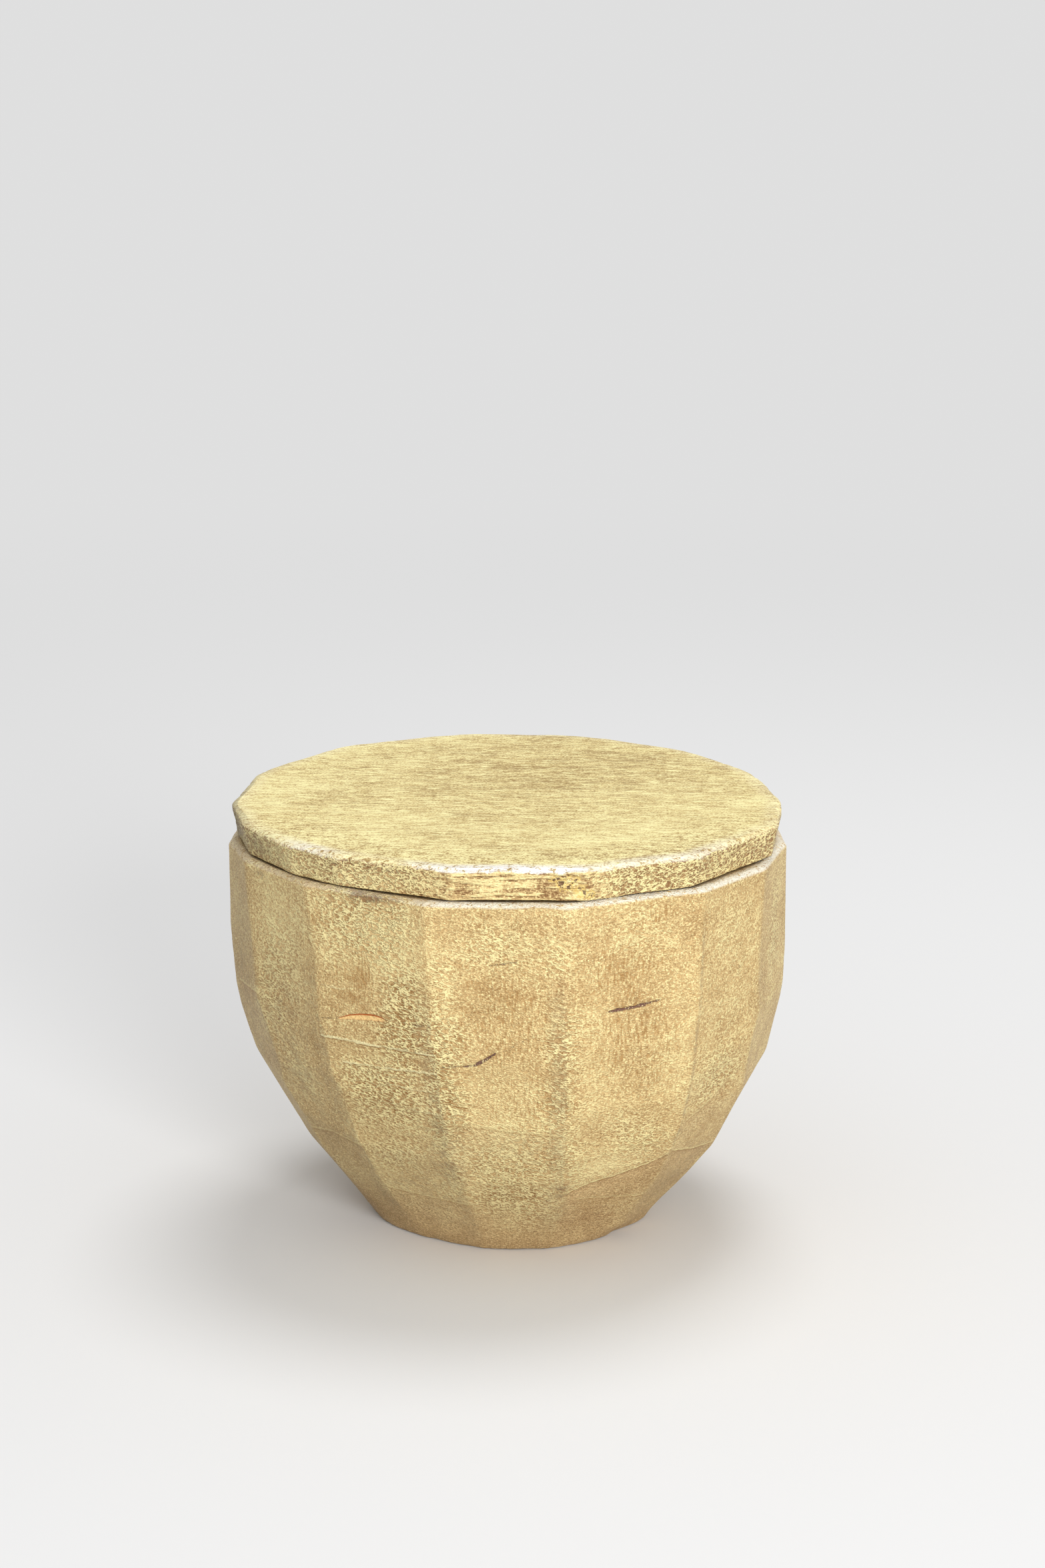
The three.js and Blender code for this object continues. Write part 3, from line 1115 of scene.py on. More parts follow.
    def keep_lines(self, surface: Surface) -> None:
        """Keeps how the points lie to the ledges and to the marks of each kind.

        A ledge's vector is the distance above it, its depth near it and its depth below it, which the
        paint turns into a painted shadow and a painted highlight along it and painted shade below it. A
        mark's is the distance above its middle line, its half width and its depth.

        Args:
            surface: the bowl's surface.
        """
        bearing, height = surface.bearing, surface.points[..., 2]
        outside = surface.within(BowlPart.OUTSIDE)
        ledge = np.zeros((*bearing.shape, 3))
        ledge[..., 0] = FAR
        for shoulder in LEDGES:
            side, weight = shoulder.side_and_weight(bearing, height)
            here = (np.abs(side) < NEAR) & (weight > 0.0) & outside
            ledge[here, 0] = side[here]
            ledge[here, 1] = weight[here]
            # Below the ledge the paint is darkened: painted shade, fading downwards.
            lower = weight * eased(-side, -0.3, 0.5) * np.exp(np.minimum(side, 0.0) / 7.0)
            ledge[..., 2] = np.maximum(ledge[..., 2], np.where(outside, lower, 0.0))
        surface.values["ledge"] = ledge
        painted = surface.within(BowlPart.OUTSIDE, BowlPart.RIM)
        for kind, marks in MARKS.items():
            kept = np.full((*bearing.shape, 3), (FAR, -1.0, 0.0))
            for mark in marks:
                side, half = mark.side_and_half(bearing, height)
                here = (half > -1.0) & painted
                kept[here] = np.stack(np.broadcast_arrays(side, half, mark.depth), axis=-1)[here]
            surface.values[kind.value] = kept

    def roughen(self, surface: Surface) -> None:
        """Moves the surface in and out by the unevenness of hand work, and sinks its marks.

        Args:
            surface: the bowl's surface.
        """
        points, bearing = surface.points, surface.bearing
        height = points[..., 2]
        broad = self.uneven.waved(points, self.waves)
        flow = surface.values["flow"] * np.array(self.wrinkle_scale)
        wrinkles = self.wrinkle_depth * self.uneven.layered(flow, self.wrinkle_size, 2)
        wrinkles = wrinkles * (0.3 + surface.values["wrinkled"])
        painted = surface.within(BowlPart.OUTSIDE, BowlPart.RIM)
        amount = np.where(painted, broad + wrinkles, 0.0)
        for shoulder in LEDGES:
            side, weight = shoulder.side_and_weight(bearing, height)
            sunk = weight * eased(-side, -0.2, 0.4) * np.exp(np.minimum(side, 0.0) / 5.0)
            amount = amount - np.where(surface.within(BowlPart.OUTSIDE), sunk, 0.0)
        for kind in MARKS:
            side, half, depth = np.moveaxis(surface.values[kind.value], -1, 0)
            shape = eased(half - np.abs(side), -0.2, 0.15)
            amount = amount - np.where(half > -1.0, depth * shape, 0.0)
        wandering = self.uneven.at(points, 25.0)
        flutes = np.abs(np.sin(np.radians(bearing) * self.flute_count + wandering))
        gouged = self.flute_depth * (flutes - 0.6) * (0.6 + 0.4 * self.uneven.at(points, 9.0))
        gouged = gouged + self.dent_depth * self.uneven.at(points, self.dent_size)
        below_mouth = eased(self.rim_height - self.mouth_depth - height, 0.0, 6.0)
        hollow = surface.within(BowlPart.HOLLOW, BowlPart.FLOOR)
        surface.raise_by(np.where(hollow, gouged * (0.15 + 0.85 * below_mouth), amount))


class LidPart(IntEnum):
    """The sections of the lid's surface, from the middle of the spigot out, up, and in on top."""

    FACE = 0
    BEVEL = 1
    SPIGOT = 2
    SHELF = 3
    LOW_EDGE = 4
    SIDE = 5
    SHOULDER = 6
    TOP = 7


@dataclass
class Lid:
    """The lid: one board with a pared edge, and a round spigot under it.

    Attributes:
        low: height of the spigot's lower face, from the frame.
        top: height of the lid's top, from the frame.
        uneven: the noise that roughens it.
        radius: radius of its corners.
        thickness: thickness of the board.
        undercut: how far the edge leans in towards its foot.
        corner_softness, back_softness: how rounded its corners are, in front and behind.
        edge_round: radius of the rounding under the edge.
        worn_width, worn_drop, worn_fullness: the worn shoulder round the top.
        spigot_radius, spigot_bevel: the spigot, and the bevel round its face.
        spigot_row: height of the rows up the spigot.
        bevel_rows, shelf_rows, side_rows, shoulder_rows, top_rows: rows in its sections.
        face_shares: where rows lie on the way across the spigot's face.
    """

    low: float
    top: float
    uneven: Unevenness = Unevenness(23)
    radius: float = 49.0
    thickness: float = 5.6
    undercut: float = 0.9
    corner_softness: float = 0.1
    back_softness: float = 1.0
    edge_round: float = 0.62
    worn_width: float = 1.15
    worn_drop: float = 0.62
    worn_fullness: float = 1.25
    spigot_radius: float = 40.6
    spigot_bevel: float = 0.6
    spigot_row: float = 0.8
    bevel_rows: int = 4
    shelf_rows: int = 7
    side_rows: int = 13
    shoulder_rows: int = 9
    top_rows: int = 40
    face_shares: tuple[float, ...] = (0.25, 0.5, 0.75, 0.92)

    def outline(self) -> tuple[np.ndarray, np.ndarray]:
        """The bearings of the grid's columns, and the radius of the pared edge at each.

        Returns:
            The bearings and the radii, each as one row.
        """
        bearings, lines = [], []
        for corner, after in zip(LID_CORNERS, LID_CORNERS[1:] + LID_CORNERS[:1]):
            width = (after.bearing - corner.bearing) % 360.0
            bearings.append(corner.bearing + width * drawn_columns(corner.columns))
            ends = (placed(c.bearing, self.radius + c.stands_out, 0.0) for c in (corner, after))
            lines.append(line_between(*ends))
        bearing = np.concatenate(bearings)[None, :]
        behind = 1.0 - facing(bearing, 0.0, -0.3, 0.3)
        softness = self.corner_softness + (self.back_softness - self.corner_softness) * behind
        return bearing, soft_least([side_radius(bearing, *line) for line in lines], softness)

    def surface(self) -> Surface:
        """The lid's closed surface, from the middle of the spigot out, up, and in over the top.

        Returns:
            The surface, with the values that its paint needs.
        """
        bearing, edge = self.outline()
        ring = placed(bearing, edge, 0.0)
        width = self.worn_width * (1.0 + 0.35 * self.uneven.layered(ring, 8.0))
        width = width * (1.0 + 0.35 * facing(bearing, 12.0, 0.8, 0.97))
        chips = eased(self.uneven.at(ring + 130.0, 2.0), 0.3, 0.7)
        drop = self.worn_drop * (1.0 + 0.4 * self.uneven.layered(ring + 70.0, 5.0))
        drop = np.clip(drop + 0.35 * chips, 0.3, 1.4)
        rounding = self.edge_round * (1.0 + 0.5 * self.uneven.layered(ring + 30.0, 6.0))

        under = self.top - self.thickness
        low_edge = edge - self.undercut
        bevel_foot = self.spigot_radius - self.spigot_bevel
        come_in, come_up = quarter(self.bevel_rows)
        worn_in, worn_up = quarter(self.shoulder_rows, self.worn_fullness)
        out, up, inward = (
            np.linspace(0.0, 1.0, count, endpoint=False)[:, None]
            for count in (self.shelf_rows, self.side_rows, self.top_rows)
        )
        sections = [
            (column(*self.face_shares) * bevel_foot, self.low),
            (bevel_foot + self.spigot_bevel * come_up, self.low + self.spigot_bevel * come_in),
            (self.spigot_radius, spaced(self.low + self.spigot_bevel, under, self.spigot_row)[:, None]),
            (self.spigot_radius + (low_edge - rounding - self.spigot_radius) * out, under),
            (low_edge - rounding * (1.0 - come_up), under + rounding * come_in),
            (low_edge + self.undercut * up, under + rounding + (self.thickness - drop - rounding) * up),
            (edge - width * worn_in, self.top - drop * (1.0 - worn_up)),
            ((edge - width) * (1.0 - inward), self.top),
        ]
        surface = Surface("lid_carved", [(bearing, *section) for section in sections])
        self.keep_values(surface)
        self.roughen(surface)
        return surface

    def keep_values(self, surface: Surface) -> None:
        """Works out what the paint needs to know at each point, and keeps it on the surface.

        Args:
            surface: the lid's surface.
        """
        values = surface.values
        bearing = surface.bearing
        past_low_edge = surface.rows_past(LidPart.LOW_EDGE)
        past_shoulder = surface.rows_past(LidPart.SHOULDER)
        past_top = surface.rows_past(LidPart.TOP)
        values["bare"] = np.where(surface.part <= LidPart.SHELF, 1.0, 0.0)
        values["across_grain"] = eased(np.abs(np.sin(np.radians(bearing - 2.0))), 0.22, 0.4)
        # The underside is painted darker towards its edge: dirt, and painted shade in the gap over the rim.
        dirty_and_shaded = 0.3 + 0.7 * eased(past_low_edge, -4.0, -2.0)
        values["gap_dirt_and_shade"] = np.where(surface.within(LidPart.SHELF), dirty_and_shaded, 0.0)
        values["top"] = eased(past_shoulder, 1.0, 5.0)
        # The top edge is painted whiter where it is worn, and as a painted glint at the bearings where it
        # faces the light.
        handled_and_glinting = 0.1 + 0.3 * facing(bearing, 20.0, 0.78, 0.97)
        handled_and_glinting = handled_and_glinting + 0.6 * facing(bearing, -1.0, 0.93, 0.985)
        handled_and_glinting = handled_and_glinting + 0.45 * np.exp(-(((bearing + 43.0) / 7.0) ** 2))
        worn = eased(past_shoulder, 0.0, 3.0) * (1.0 - eased(past_top, 0.0, 2.4))
        values["rub_and_glint"] = worn * handled_and_glinting
        values["near_edge"] = (1.0 - eased(past_top, 3.0, 12.0)) * facing(bearing, 0.0, 0.2, 0.8)
        pits = [pit.distance(surface, self.radius) - pit.radius for pit in KNOT]
        values["pit"] = np.where(surface.within(LidPart.SIDE), np.min(pits, axis=0), FAR)
        surface.keep_patches(LID_PATCHES, (LidPart.LOW_EDGE, LidPart.SIDE, LidPart.SHOULDER))

    def roughen(self, surface: Surface) -> None:
        """Moves the surface in and out by the unevenness of hand work, and sinks the knot.

        Args:
            surface: the lid's surface.
        """
        points = surface.points
        grain = points * np.array([0.16, 1.0, 1.0])
        side = 0.13 * self.uneven.layered(grain, 1.3, 2) + 0.1 * self.uneven.at(points, 3.5)
        top = 0.07 * self.uneven.at(points, 11.0) + 0.03 * self.uneven.at(grain + 9.0, 1.6)
        amount = np.where(surface.within(LidPart.TOP), top, 0.0)
        shares = ((LidPart.LOW_EDGE, 0.4), (LidPart.SIDE, 1.0), (LidPart.SHOULDER, 0.35))
        for part, share in shares:
            amount = np.where(surface.within(part), share * side, amount)
        for pit in KNOT:
            distance = pit.distance(surface, self.radius)
            sunk = pit.depth * (1.0 - eased(distance, 0.3 * pit.radius, 1.3 * pit.radius))
            amount = amount - np.where(surface.within(LidPart.SIDE), sunk, 0.0)
        surface.raise_by(amount)


def screen_to_light(colour: Triple) -> tuple[float, float, float, float]:
    """A screen colour as the light that a shader takes.

    Formula: ((c + 0.055) / 1.055) ^ 2.4 for each part c from 0 to 1, or c / 12.92 below 0.04045.

    Args:
        colour: three numbers from 0 to 255.

    Returns:
        Red, green, blue and full opacity.
    """
    parts = []
    for part in colour:
        share = part / 255.0
        parts.append(share / 12.92 if share <= 0.04045 else ((share + 0.055) / 1.055) ** 2.4)
    return parts[0], parts[1], parts[2], 1.0


class Graph:
    """The node tree of one material or world, built by short calls that return output sockets."""

    def __init__(self, owner: bpy.types.Material | bpy.types.World) -> None:
        """Empties the node tree of its owner.

        Args:
            owner: the material or world.
        """
        owner.use_nodes = True
        self.owner = owner
        self.tree = owner.node_tree
        self.tree.nodes.clear()

    def node(self, kind: str, **settings: object) -> bpy.types.Node:
        """A new node of a kind, with its settings.

        Args:
            kind: the end of the node type's name.
            **settings: properties to set on it.

        Returns:
            The node.
        """
        made = self.tree.nodes.new(f"ShaderNode{kind}")
        for name, value in settings.items():
            setattr(made, name, value)
        return made

    def feed(self, node: bpy.types.Node, **inputs: object) -> bpy.types.Node:
        """Feeds a node's inputs, each named with _ for a space, by a link or with a value.

        Args:
            node: the node.
            **inputs: outputs to link or values to set.

        Returns:
            The same node.
        """
        for name, value in inputs.items():
            self.feed_socket(node.inputs[name.replace("_", " ")], value)
        return node

    def feed_socket(self, socket: Socket, value: object) -> None:
        """Links an output to an input socket, or sets the input's own value.

        Args:
            socket: the input.
            value: the output, or the value.
        """
        if isinstance(value, bpy.types.NodeSocket):
            self.tree.links.new(value, socket)
        else:
            socket.default_value = value

    def maths(self, operation: str, *values: object) -> Socket:
        """A Math node on one or two values.

        Args:
            operation: what it does.
            *values: outputs or numbers.

        Returns:
            Its result.
        """
        made = self.node("Math", operation=operation)
        for socket, value in zip(made.inputs, values):
            self.feed_socket(socket, value)
        return made.outputs[0]

    def total(self, *values: object) -> Socket:
        """The sum of several values.

        Args:
            *values: outputs or numbers.

        Returns:
            Their sum.
        """
        added = values[0]
        for value in values[1:]:
            added = self.maths("ADD", added, value)
        return added

    def times(self, *values: object) -> Socket:
        """The product of several values.

        Args:
            *values: outputs or numbers.

        Returns:
            Their product.
        """
        made = values[0]
        for value in values[1:]:
            made = self.maths("MULTIPLY", made, value)
        return made

    def weighed(self, *terms: tuple[Socket, float]) -> Socket:
        """The sum of values, each times its weight."""
        return self.total(*(self.times(value, weight) for value, weight in terms))

    def about(self, value: Socket, strength: float, middle: float = 0.5) -> Socket:
        """How far a value is above its middle, times a strength."""
        return self.times(self.total(value, -middle), strength)

    def rest(self, value: Socket, whole: float = 1.0) -> Socket:
        """What a value leaves of a whole."""
        return self.maths("SUBTRACT", whole, value)

    def off(self, value: Socket, middle: float = 0.5) -> Socket:
        """How far a value is from a middle, to either side."""
        return self.maths("ABSOLUTE", self.total(value, -middle))

    def inside(self, half: Socket, side: Socket) -> Socket:
        """How far inside the edges of a line a place is, below zero outside it."""
        return self.maths("SUBTRACT", half, self.maths("ABSOLUTE", side))

    def stepped(self, value: object, low: object, high: object, smooth: bool = True) -> Socket:
        """0 below low and 1 above high, with a smooth or a straight way between them."""
        made = self.node("MapRange", interpolation_type="SMOOTHSTEP" if smooth else "LINEAR")
        return self.feed(made, Value=value, From_Min=low, From_Max=high).outputs[0]

    def place(self) -> Socket:
        """The object's own coordinates, in metres."""
        return self.node("TexCoord").outputs["Object"]

    def attribute(self, name: str) -> Socket:
        """A number kept on the mesh."""
        return self.node("Attribute", attribute_name=name).outputs["Fac"]

    def vector(self, name: str) -> Socket:
        """A vector kept on the mesh."""
        return self.node("Attribute", attribute_name=name).outputs["Vector"]

    def parts(self, vector: Socket) -> tuple[Socket, Socket, Socket]:
        """The three parts of a vector."""
        made = self.node("SeparateXYZ")
        self.feed_socket(made.inputs[0], vector)
        return made.outputs[0], made.outputs[1], made.outputs[2]

    def turned(self, vector: Socket, degrees: float) -> Socket:
        """A vector turned about Z."""
        turn = (0.0, 0.0, math.radians(degrees))
        return self.feed(self.node("Mapping"), Vector=vector, Rotation=turn).outputs[0]

    def blend(self, share: object, first: object, second: object) -> Socket:
        """A mix of two colours.

        Args:
            share: 0 for the first colour and 1 for the second.
            first: an output, or a colour as the screen shows it.
            second: the same.

        Returns:
            The mixed colour.
        """
        made = self.node("Mix", data_type="RGBA", clamp_factor=True)
        self.feed_socket(made.inputs[0], share)
        for socket, colour in ((made.inputs[6], first), (made.inputs[7], second)):
            self.feed_socket(socket, screen_to_light(colour) if isinstance(colour, tuple) else colour)
        return made.outputs[2]

    def coated(self, colour: Socket, *coats: tuple[Socket, float, object]) -> Socket:
        """A colour under coats, laid on in order: where each lies, how thick, and its colour."""
        for where, thick, coat in coats:
            colour = self.blend(self.times(where, thick), colour, coat)
        return colour

    def finished(self, colour: Socket, metal: Socket, rough: Socket, relief: Socket) -> bpy.types.Material:
        """Ends the tree in one shader.

        Args:
            colour: the base colour.
            metal: how metallic it is.
            rough: its roughness.
            relief: a height in millimetres that bends its normals.

        Returns:
            The material.
        """
        bump = self.feed(self.node("Bump"), Strength=1.0, Distance=MM, Height=relief)
        shader = self.feed(
            self.node("BsdfPrincipled"),
            Base_Color=colour,
            Metallic=metal,
            Roughness=rough,
            Specular_IOR_Level=0.12,
            Normal=bump.outputs[0],
        )
        self.feed(self.node("OutputMaterial"), Surface=shader.outputs[0])
        return self.owner


@dataclass(frozen=True)
class Texture:
    """Noise for a finish.

    Attributes:
        size: size of its largest features.
        detail: how many finer layers it has.
        rough: how strong each finer layer is.
        scale: how the coordinates are scaled along each axis. It is drawn out where this is small.
        shift: how far all three of them are shifted, so that two textures differ.
    """

    size: float
    detail: float = 2.0
    rough: float = 0.55
    scale: Triple = (1.0, 1.0, 1.0)
    shift: float = 0.0

    def over(self, graph: Graph, place: Socket, unit: float = MM) -> Socket:
        """The noise at a place, from 0 to 1.

        Args:
            graph: the material's nodes.
            place: the coordinates.
            unit: what they count a millimetre as.

        Returns:
            The noise.
        """
        shift = (self.shift, self.shift, self.shift)
        moved = graph.feed(graph.node("Mapping"), Vector=place, Location=shift, Scale=self.scale)
        noise = graph.feed(
            graph.node("TexNoise"),
            Vector=moved.outputs[0],
            Scale=1.0 / (self.size * unit),
            Detail=self.detail,
            Roughness=self.rough,
        )
        return noise.outputs[0]


@dataclass(frozen=True)
class BareWood:
    """Unpainted wood, seen inside the bowl, under the lid and in the lifted sliver.

    Attributes:
        pale: its usual colour.
        dark: its bands and pores.
        fresh: the pared face of the sliver.
        rust: the torn wood round the sliver.
        bands, fibres, pores: its broad and its fine grain, and its pores.
    """

    pale: Triple = (197, 157, 111)
    dark: Triple = (144, 103, 67)
    fresh: Triple = (255, 214, 146)
    rust: Triple = (188, 94, 40)
    bands: Texture = Texture(3.0, 4.0, 0.6, (0.07, 1.0, 1.0))
    fibres: Texture = Texture(0.35, 3.0, 0.55, (0.05, 1.0, 1.0), 0.3)
    pores: Texture = Texture(0.3, 1.0, 0.55, (0.12, 1.0, 1.0), 0.7)

    def colour(self, graph: Graph, place: Socket) -> Socket:
        """Wood with its grain along X: broad and fine bands, and short dark pores.

        Args:
            graph: the material's nodes.
            place: the object's own coordinates.

        Returns:
            The colour.
        """
        bands, fibres = self.bands.over(graph, place), self.fibres.over(graph, place)
        pore = graph.stepped(self.pores.over(graph, place), 0.66, 0.75)
        share = graph.total(graph.weighed((bands, 0.7), (fibres, 0.4)), -0.05)
        body = graph.blend(graph.stepped(share, 0.3, 0.7), self.dark, self.pale)
        return graph.coated(body, (pore, 0.6, self.dark))


@dataclass(frozen=True)
class GoldPaint:
    """Gold paint brushed over carved wood, with what the two pieces share.

    Attributes:
        name: the material's name.
        dark: the paint where little of it lies.
        middle: the paint's usual colour.
        light: the paint where it stands up and shines.
        brown: where it is thin enough for the wood to show.
        grey: where it has greyed with tarnishing, and painted shade on the left and along some edges.
        stain: low spots that the paint didn't reach.
        rubbed_and_glint: where handling has worn it to a polish, and a painted glint on the rims.
        check: the inside of a split in the wood.
        gap_dirt_and_shade: dirt, and painted shade in the gap, on the faces that meet when the lid is on.
        metal: how metallic it is.
        rough: its usual roughness.
        level: how light it is on the whole, from 0 to 1.
        grains, lumps: its fine and its coarser unevenness.
    """

    name: str
    dark: Triple = (158, 120, 73)
    middle: Triple = (221, 189, 133)
    light: Triple = (255, 237, 174)
    brown: Triple = (180, 136, 82)
    grey: Triple = (165, 147, 115)
    stain: Triple = (117, 84, 65)
    rubbed_and_glint: Triple = (255, 250, 228)
    check: Triple = (111, 75, 73)
    gap_dirt_and_shade: Triple = (75, 51, 37)
    metal: float = 0.12
    rough: float = 0.46
    level: float = 0.455
    grains: Texture = Texture(0.34, 2.0, 0.6)
    lumps: Texture = Texture(0.9, 2.0, 0.5)

    def tinted(self, graph: Graph, share: Socket, dark: Triple, middle: Triple, light: Triple) -> Socket:
        """Three colours along a share: dark at 0, middle at a half and light at 1."""
        low = graph.blend(graph.stepped(share, 0.0, 0.5, smooth=False), dark, middle)
        return graph.blend(graph.stepped(share, 0.5, 1.0, smooth=False), low, light)

    def on_wood(
        self, graph: Graph, colour: Socket, patchy: Socket, place: Socket, wood: BareWood
    ) -> tuple[Socket, Socket]:
        """The paint where it lies, with wood where it doesn't, and dirt and painted shade where the pieces
        meet.

        Args:
            graph: the material's nodes.
            colour: the paint's colour.
            patchy: the noise that makes its edge ragged.
            place: the object's own coordinates.
            wood: the wood under it.

        Returns:
            The colour, and 1 where the wood is bare.
        """
        lap = graph.total(graph.attribute("bare"), graph.about(patchy, 0.8))
        bare = graph.stepped(lap, 0.45, 0.55)
        colour = graph.blend(bare, colour, wood.colour(graph, place))
        # Darker where the pieces meet: dirt, and painted shade in the gap.
        return graph.blend(graph.attribute("gap_dirt_and_shade"), colour, self.gap_dirt_and_shade), bare


@dataclass(frozen=True)
class BowlPaint(GoldPaint):
    """The bowl's paint: wrinkled in places, brushed up and down, and greyer along its edges, partly by
    tarnishing and partly as painted shade.

    Attributes:
        ridge: the long ridges beside the sliver, partly a painted highlight along their tops.
        low_dark, low_light: browner colours towards the foot, also used for painted shade below the ledges.
        low_from, low_to: between these heights it gives way to the usual paint.
        band_turn: the turn of the bands from X, in degrees.
        clouds, bands, patchy: broad changes, bands round the wood, and ragged wear.
        wandering, moved: the noise whose middle lines are wrinkles, and that of their shadows.
        finer: the noise of the creases where there are no wrinkles.
        brushed, stroked: fine lines up and down, and brush strokes that rise to the right.
        stroke_scale, stroke_rise: how far the strokes are drawn out, and how steeply they rise.
    """

    name: str = "bowl_gold_paint"
    rubbed_and_glint: Triple = (255, 250, 234)
    ridge: Triple = (255, 241, 186)
    low_dark: Triple = (136, 100, 61)
    low_light: Triple = (236, 197, 144)
    low_from: float = 1.0
    low_to: float = 16.0
    band_turn: float = 2.0
    clouds: Texture = Texture(9.0, 3.0)
    bands: Texture = Texture(3.2, 3.0, 0.6, (0.15, 1.0, 1.0), 0.2)
    patchy: Texture = Texture(2.2, 4.0, 0.65, (0.35, 1.0, 1.0), 0.9)
    wandering: Texture = Texture(1.0, 2.0, 0.5, (0.8, 0.8, 1.75))
    moved: Texture = Texture(1.0, 2.0, 0.5, (0.8, 0.8, 1.75), 0.32)
    finer: Texture = Texture(1.0, 1.0, 0.5, (1.6, 1.6, 2.6), 5.0)
    brushed: Texture = Texture(0.34, 2.0, 0.55, (1.0, 1.0, 0.2), 3.0)
    stroked: Texture = Texture(1.3, 2.0, 0.6)
    stroke_scale: float = 0.3
    stroke_rise: float = 1.1

    def material(self, wood: BareWood) -> bpy.types.Material:
        """The bowl's material.

        Args:
            wood: the wood under the paint.

        Returns:
            The material.
        """
        graph = Graph(bpy.data.materials.new(self.name))
        place = graph.place()
        flow = graph.vector("flow")
        height = graph.times(graph.parts(place)[2], 1.0 / MM)
        thin = graph.attribute("thin")
        clouds = self.clouds.over(graph, place)
        grains = self.grains.over(graph, place)
        bright_grains = graph.stepped(grains, 0.58, 0.64)
        lumps = self.lumps.over(graph, place)
        bands = self.bands.over(graph, graph.turned(place, self.band_turn))
        patchy = self.patchy.over(graph, place)

        # Wrinkles are the middle lines of a noise, painted lighter, partly as highlights on their tops.
        # Their painted shadows are those of the same noise moved.
        wrinkled = graph.total(graph.attribute("wrinkled"), graph.about(clouds, 1.4, 0.45))
        wrinkled = graph.times(wrinkled, graph.rest(graph.times(thin, 0.8)))
        wrinkled = graph.stepped(wrinkled, 0.0, 1.1, smooth=False)
        plain = graph.rest(wrinkled, 1.1)
        ridged = graph.stepped(graph.off(self.wandering.over(graph, flow, 1.0)), 0.08, 0.015)
        beside = graph.stepped(graph.off(self.moved.over(graph, flow, 1.0)), 0.08, 0.02)
        shaded = graph.times(beside, graph.rest(ridged), wrinkled)
        finer = self.finer.over(graph, flow, 1.0)
        creased = graph.stepped(graph.off(finer), 0.1, 0.0, smooth=False)

        # Scratches run up and down. Brush strokes rise to the right.
        brushed = self.brushed.over(graph, flow, 1.0)
        scratched = graph.total(graph.attribute("scratched"), graph.times(patchy, 1.2))
        scratch = graph.times(graph.stepped(brushed, 0.5, 0.62), graph.stepped(scratched, 0.7, 1.3))
        round_it, back, up = graph.parts(flow)
        slanted = graph.feed(
            graph.node("CombineXYZ"),
            X=graph.times(round_it, self.stroke_scale),
            Y=graph.times(back, self.stroke_scale),
            Z=graph.total(up, graph.times(round_it, -self.stroke_rise)),
        )
        strokes = graph.stepped(self.stroked.over(graph, slanted.outputs[0], 1.0), 0.5, 0.64)
        strokes = graph.times(strokes, graph.attribute("swept"), graph.stepped(grains, 0.45, 0.62))

        share = graph.total(
            self.level,
            graph.about(grains, 0.72),
            graph.about(lumps, 0.12),
            graph.about(bands, 0.38),
            graph.about(clouds, 0.4),
            graph.times(graph.about(creased, 0.34, 0.3), plain),
            graph.times(graph.total(ridged, -0.16), wrinkled, graph.total(graph.times(wrinkled, 0.7), 0.8)),
            graph.weighed((bright_grains, 0.5), (graph.stepped(grains, 0.4, 0.33), -0.1)),
            graph.weighed((shaded, -0.28), (graph.attribute("pale"), 0.3), (strokes, 0.9)),
        )
        low_colour = graph.blend(share, self.low_dark, self.low_light)
        worn = graph.total(graph.weighed((thin, 0.9), (patchy, 1.6)), brushed, -1.35)
        low = graph.total(height, graph.about(clouds, 14.0))
        low = graph.stepped(low, self.low_to, self.low_from)
        tarnish = graph.maths("MAXIMUM", graph.attribute("tarnish"), graph.attribute("tarnished"))
        spread = graph.times(graph.stepped(graph.total(lumps, patchy), 0.85, 1.15), 0.75)
        spots = graph.about(graph.total(grains, patchy), 1.2, 1.0)
        spots = graph.total(graph.attribute("stained"), spots)
        pore = graph.times(graph.stepped(lumps, 0.3, 0.24), graph.attribute("end_grain"))
        # Whiter on the rim: worn polish, and a painted glint.
        polished_and_glinting = graph.stepped(graph.total(grains, lumps), 0.7, 0.98)
        polished_and_glinting = graph.times(graph.attribute("rub_and_glint"), polished_and_glinting)
        colour = graph.coated(
            self.tinted(graph, share, self.dark, self.middle, self.light),
            (graph.stepped(worn, 0.2, 1.1), 0.75, self.brown),
            (scratch, 0.6, self.brown),
            (low, 0.6, low_colour),
            # Greyer along edges and in patches: tarnishing, and painted shade.
            (graph.times(tarnish, graph.total(0.25, spread)), 0.65, self.grey),
            (graph.stepped(spots, 0.35, 0.85), 0.7, self.stain),
            (pore, 0.55, self.stain),
            (polished_and_glinting, 0.95, self.rubbed_and_glint),
        )

        # Painted light along the ledges: a shadow just below each ledge line, a highlight just above it, and
        # shade on the wood below.
        side, depth, lower = graph.parts(graph.vector("ledge"))
        wavering = graph.total(side, graph.about(lumps, 0.8))
        under = graph.times(graph.stepped(graph.off(wavering, -0.15), 0.4, 0.05), depth)
        over = graph.times(graph.stepped(graph.off(wavering, 0.25), 0.3, 0.05), depth)

        side, half, _ = graph.parts(graph.vector(MarkKind.SLIVER.value))
        ragged = graph.total(graph.inside(half, side), graph.about(grains, 0.2))
        opened = graph.stepped(ragged, -0.14, -0.02)
        upper = graph.stepped(graph.total(side, graph.times(half, -0.45)), -0.05, 0.1)
        nearly = graph.total(ragged, graph.times(graph.stepped(side, 0.05, -0.1), 0.12))
        pared = graph.times(graph.stepped(nearly, 0.02, 0.1), graph.rest(upper))

        side, half, depth = graph.parts(graph.vector(MarkKind.CHECK.value))
        ragged = graph.about(graph.total(grains, lumps), 0.5, 1.05)
        split = graph.stepped(graph.total(graph.inside(half, side), ragged), -0.1, 0.12)

